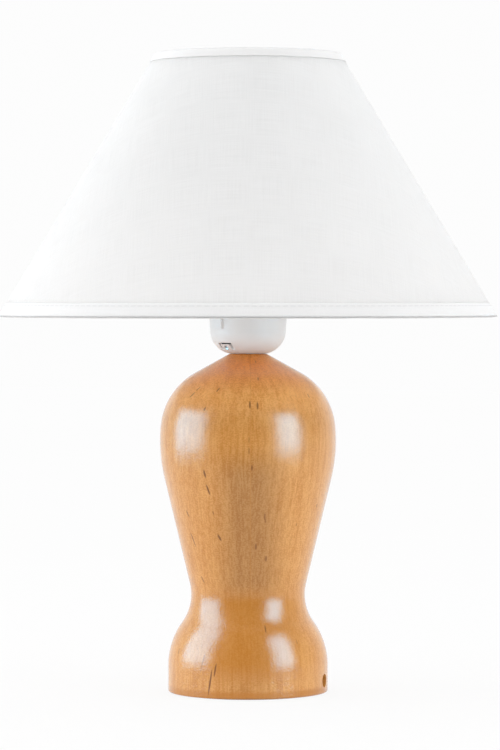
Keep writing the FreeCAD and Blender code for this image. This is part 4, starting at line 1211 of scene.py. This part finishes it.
# %% [markdown]
# ## The hem tapes
#
# A tape is its section taken round the cone. Its lower edge and its width waver by a
# tenth of a millimetre, as a tape that is glued on by hand does. The inner leaf is
# cut away where the three arms reach the lower ring, and the cuts have sloping sides,
# so extra angles are set where a cut starts and ends.

# %% The hem tapes
HEM_AROUND = 420
ARM_ANGLES = [math.radians(90 + 120 * index) for index in range(3)]
NOTCH_HALF = 1.75 * MM
NOTCH_STEPS = (-1.25, -1.0, -0.8, 0.0, 0.8, 1.0, 1.25)
NOTCH_SLOPE = 0.2
NOTCH_TURN = math.radians(42)
EDGE_WAVE = (0.10 * MM, (7, 11, 17, 26, 38))
WIDTH_WAVE = (0.12 * MM, (5, 9, 23, 41))
EDGE_WAVE_REACH = 2.5 * MM


def make_hem(name, outer, wire_place, leaf_width, edge, direction, notches, seed):
    """A folded tape. Heights run from the edge inwards, up or down."""
    angles = set(np.linspace(0, 2 * math.pi, HEM_AROUND, endpoint=False).round(6))
    for centre in notches:
        for step in NOTCH_STEPS:
            angles.add(round((centre + step * NOTCH_HALF / wire_place) % (2 * math.pi), 6))
    angles = np.array(sorted(angles))
    edge_wave = wavy(angles, *EDGE_WAVE, seed)
    width_wave = wavy(angles, *WIDTH_WAVE, seed + 1)
    wrap = wire_radius + WIRE_CLEARANCE + TAPE
    cut = INNER_LEAF - wrap + NOTCH_TURN * wrap
    profiles = []
    for index, angle in enumerate(angles):
        off = min([abs((angle - centre + math.pi) % (2 * math.pi) - math.pi)
                   for centre in notches] or [math.pi]) * wire_place
        reach = cut * (1 - np.clip((off - NOTCH_HALF) / (NOTCH_SLOPE * NOTCH_HALF), 0, 1))
        line = hem_path(outer, wire_place, wrap, leaf_width + width_wave[index], reach)
        line[:, 1] += np.abs(edge_wave[index]) * np.exp(-line[:, 1] / EDGE_WAVE_REACH)
        profile = thicken(line, TAPE)
        profile[:, 1] = edge + direction * profile[:, 1]
        profiles.append(profile)
    loops = [[at_angle(radius, angle, height) for radius, height in profile]
             for angle, profile in zip(angles, profiles)]
    turned = [*angles, angles[0] + 2 * math.pi]
    lengths = lengths_along(profiles[0])
    lengths = [*lengths, lengths[-1] + TAPE]

    def flat_of(i, k, first_i, first_k):
        return turned[i] * profiles[first_i][first_k][0], lengths[k]

    return make_shell(name, loops, finishes["hem_tape"], flat_of)


bottom_tape = make_hem(
    "bottom_hem_tape", cone_radius, low_ring, LOW_TAPE_WIDTH, EDGE_HEIGHT, 1,
    ARM_ANGLES, 21)
top_tape = make_hem(
    "top_hem_tape", lambda drop: cone_radius(CONE_HEIGHT - drop), high_ring,
    HIGH_TAPE_WIDTH, EDGE_HEIGHT + CONE_HEIGHT, -1, [], 31)

# %% [markdown]
# ## Making and running a tree
#
# What repeats is made by Geometry Nodes. A tree is wired as a material is. It runs
# as a modifier on an empty mesh, whose inputs are set by their identifiers before it
# is first evaluated. The result is kept as a plain mesh, and the modifier goes.

# %% Making and running a tree
def step(tree, kind, **inputs):
    """Adds a Geometry Nodes step and returns what it makes."""
    return put(tree, "GeometryNode" + kind, spaced(inputs))[0]


def finish_tree(tree, geometry, given):
    """Sets the material as a tree's last step."""
    done = step(tree, "SetMaterial", Geometry=geometry, Material=given["Finish"])
    put(tree, "NodeGroupOutput", {"Geometry": done})
    return tree


def run_tree(name, tree, values):
    """Runs a tree on an empty mesh with the given inputs, and keeps the plain result."""
    maker = add_object(name + "_maker", bpy.data.meshes.new(name + "_maker"))
    modifier = maker.modifiers.new("make", "NODES")
    modifier.node_group = tree
    for item in tree.interface.items_tree:
        if item.item_type == "SOCKET" and item.in_out == "INPUT":
            modifier[item.identifier] = values[item.name]
    evaluated = maker.evaluated_get(bpy.context.evaluated_depsgraph_get())
    mesh = bpy.data.meshes.new_from_object(evaluated)
    mesh.name = name
    bpy.data.objects.remove(maker)
    print(name, "faces:", len(mesh.polygons))
    return add_object(name, mesh)


# %% [markdown]
# ## Stitches in the lower hem
#
# A row of small stitches runs just under the upper edge of the lower tape. One
# stitch is a short arched curve with a round section, placed on points round a
# circle, each turned along the edge and leaned with the cone, with a small random
# turn from a fixed seed. Realized, they ride with the shade as one piece.

# %% Stitches in the lower hem
STITCH_PITCH = 4.0 * MM
STITCH_DROP = 1.7 * MM
STITCH_SINK = 0.08 * MM
STITCH_TURN = 0.07


def make_stitch_tree():
    """Arched stitches round a circle."""
    tree, given = new_tree(
        "stitches", "GeometryNodeTree",
        {"Float": "Radius, Height, Length, Arch, Thread, Lean", "Int": "Count, Seed",
         "Material": "Finish"}, {"Geometry": "Geometry"})
    circle = step(tree, "MeshCircle", Vertices=given["Count"], Radius=given["Radius"])
    circle = step(tree, "SetPosition", Geometry=circle, Offset=join(tree, Z=given["Height"]))
    half = given["Length"] * 0.5
    arch = step(tree, "CurveQuadraticBezier", Resolution=4, Start=join(tree, Y=half * -1.0),
                Middle=join(tree, X=given["Arch"] * 2.0), End=join(tree, Y=half))
    section = step(tree, "CurvePrimitiveCircle", Resolution=6, Radius=given["Thread"])
    stitch = step(tree, "CurveToMesh", Curve=arch, Profile_Curve=section, Fill_Caps=True)
    stitch = step(tree, "SetShadeSmooth", Geometry=stitch)
    angle = step(tree, "InputIndex") / given["Count"] * (2 * math.pi)
    uneven = put(tree, "FunctionNodeRandomValue", {
        2: -STITCH_TURN, 3: STITCH_TURN, "Seed": given["Seed"]}, data_type="FLOAT")[1]
    turns = [join(tree, X=uneven, Y=given["Lean"] * -1.0), join(tree, Z=angle)]
    leaned, spun = [put(tree, "FunctionNodeEulerToRotation", {0: turn})[0] for turn in turns]
    both = put(tree, "FunctionNodeRotateRotation", {0: leaned, 1: spun})[0]
    laid = step(tree, "InstanceOnPoints", Points=circle, Instance=stitch, Rotation=both)
    return finish_tree(tree, step(tree, "RealizeInstances", Geometry=laid), given)


stitch_rise = LOW_TAPE_WIDTH - STITCH_DROP
stitch_radius = cone_radius(stitch_rise) - STITCH_SINK
stitch_count = round(2 * math.pi * stitch_radius / STITCH_PITCH)
stitches = run_tree("hem_stitches", make_stitch_tree(), {
    "Radius": stitch_radius, "Height": EDGE_HEIGHT + stitch_rise, "Count": stitch_count,
    "Length": 2.7 * MM, "Arch": 0.10 * MM, "Thread": 0.14 * MM,
    "Lean": math.asin(cone_sine), "Seed": 5, "Finish": finishes["sewing_thread"]})
print("stitches:", stitch_count)

# %% [markdown]
# ## Welds of the wire frame
#
# The three arms are welded on: each runs under the flat ring and has a small fillet
# of weld on either side there, and at its outer end a collar was pressed up where it
# meets the wire ring. These are drops of metal under the white paint. One tree makes
# all nine. The number of a point gives its arm and its kind, the kind gives where it
# sits and how long it is, and a fixed seed makes no two drops quite alike.

# %% Welds of the wire frame
FILLET_HALVES = (2.3 * MM, 0.75 * MM, 0.55 * MM)
COLLAR_HALVES = (0.95 * MM, 1.95 * MM, 1.95 * MM)
LEAST_WELD = (0.90, 0.93, 0.90)
DENT_NOISE = (900.0, 1.0)
COLLAR_GAP = 0.1 * MM
FILLET_DROP = 0.35 * MM


def make_weld_tree():
    """Beads of weld at both ends of the arms, as squashed and dented balls."""
    tree, given = new_tree(
        "welds", "GeometryNodeTree",
        {"Float": "First angle, Ring radius, Ring height, Ring spread, Collar radius, "
                  "Collar height, Dent", "Int": "Arms, Seed", "Material": "Finish"},
        {"Geometry": "Geometry"})
    points = put(tree, "GeometryNodeMeshLine", {"Count": given["Arms"] * 3.0}, mode="OFFSET")[0]
    index = step(tree, "InputIndex")
    arm = index.reckon("MODULO", given["Arms"])
    kind = (index / given["Arms"]).reckon("FLOOR")
    collar = kind.reckon("LESS_THAN", 0.5)
    side = (kind * 2.0 - 3.0) * (1.0 - collar)
    turn = arm / given["Arms"] * (2 * math.pi) + given["First angle"]
    place = join(tree, X=mix(collar, given["Ring radius"], given["Collar radius"]),
                 Y=side * given["Ring spread"],
                 Z=mix(collar, given["Ring height"], given["Collar height"]))
    spin = join(tree, Z=turn)
    turned = put(tree, "ShaderNodeVectorRotate", {"Vector": place, "Rotation": spin},
                 rotation_type="EULER_XYZ")[0]
    points = step(tree, "SetPosition", Geometry=points, Position=turned)
    ball = step(tree, "MeshIcoSphere", Radius=1.0, Subdivisions=4)
    wide = put(tree, "ShaderNodeMix", {0: collar, 4: FILLET_HALVES, 5: COLLAR_HALVES},
               data_type="VECTOR")[1]
    uneven = put(tree, "FunctionNodeRandomValue", {
        0: LEAST_WELD, 1: (1.0, 1.0, 1.0), "Seed": given["Seed"]}, data_type="FLOAT_VECTOR")[0]
    laid = step(tree, "InstanceOnPoints", Points=points, Instance=ball, Rotation=spin,
                Scale=vectors("MULTIPLY", wide, uneven)[0])
    solid = step(tree, "RealizeInstances", Geometry=laid)
    depth = noise(step(tree, "InputPosition"), *DENT_NOISE) * -1.0 * given["Dent"]
    offset = put(tree, "ShaderNodeVectorMath", {0: step(tree, "InputNormal"), "Scale": depth},
                 operation="SCALE")[0]
    dented = step(tree, "SetPosition", Geometry=solid, Offset=offset)
    return finish_tree(tree, step(tree, "SetShadeSmooth", Geometry=dented), given)


arm_low, arm_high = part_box("shade_arm_back")
fitter_low, fitter_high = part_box("fitter_ring")
arm_start = (arm_low.y, fitter_low.z - (arm_high.x - arm_low.x) / 2)
arm_end = (low_ring - wire_radius, low_ring_height)
collar_radius = low_ring - wire_radius - WIRE_CLEARANCE - TAPE - COLLAR_HALVES[0] - COLLAR_GAP
share = (collar_radius - arm_start[0]) / (arm_end[0] - arm_start[0])
welds = run_tree("frame_welds", make_weld_tree(), {
    "Arms": len(ARM_ANGLES), "First angle": ARM_ANGLES[0],
    "Ring radius": (arm_start[0] + fitter_high.x) / 2,
    "Ring height": fitter_low.z - FILLET_DROP, "Ring spread": 1.25 * MM,
    "Collar radius": collar_radius,
    "Collar height": arm_start[1] + (arm_end[1] - arm_start[1]) * share,
    "Dent": 0.12 * MM, "Seed": 3, "Finish": finishes["white_wire_paint"]})
print("arm from", [round(value, 4) for value in arm_start], "to",
      [round(value, 4) for value in arm_end])

# %% [markdown]
# ## Riding and replacing
#
# The cloth and its tapes stand for three soft solids of the imported model, which are
# then hidden. Everything made here for the shade rides on the body of the shade. The
# cloth's flat size is worked out and printed: a cone opens into a fan of about
# 184 degrees, whose outer radius is the distance from the cone's tip to its lower
# edge, so the fan fits a rectangle of twice that radius by a little more than it.

# %% Riding and replacing
outer_reach = cone_radius(0) / cone_sine
inner_reach = cone_radius(CONE_HEIGHT) / cone_sine
fan = 2 * math.pi * cone_sine
fan_area = fan / 2 * (outer_reach ** 2 - inner_reach ** 2)
flat_size = (2 * outer_reach, outer_reach * (1 + math.sin(max(0.0, fan / 2 - math.pi / 2))))
for piece in (cloth, lap, bottom_tape, top_tape, stitches, welds):
    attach(piece, "shade")
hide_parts("shade_fabric")
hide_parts("bottom_hem")
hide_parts("top_hem")
print("flat size", [round(side, 3) for side in flat_size], "area", round(fan_area, 4),
      "fan in degrees", round(math.degrees(fan), 1))
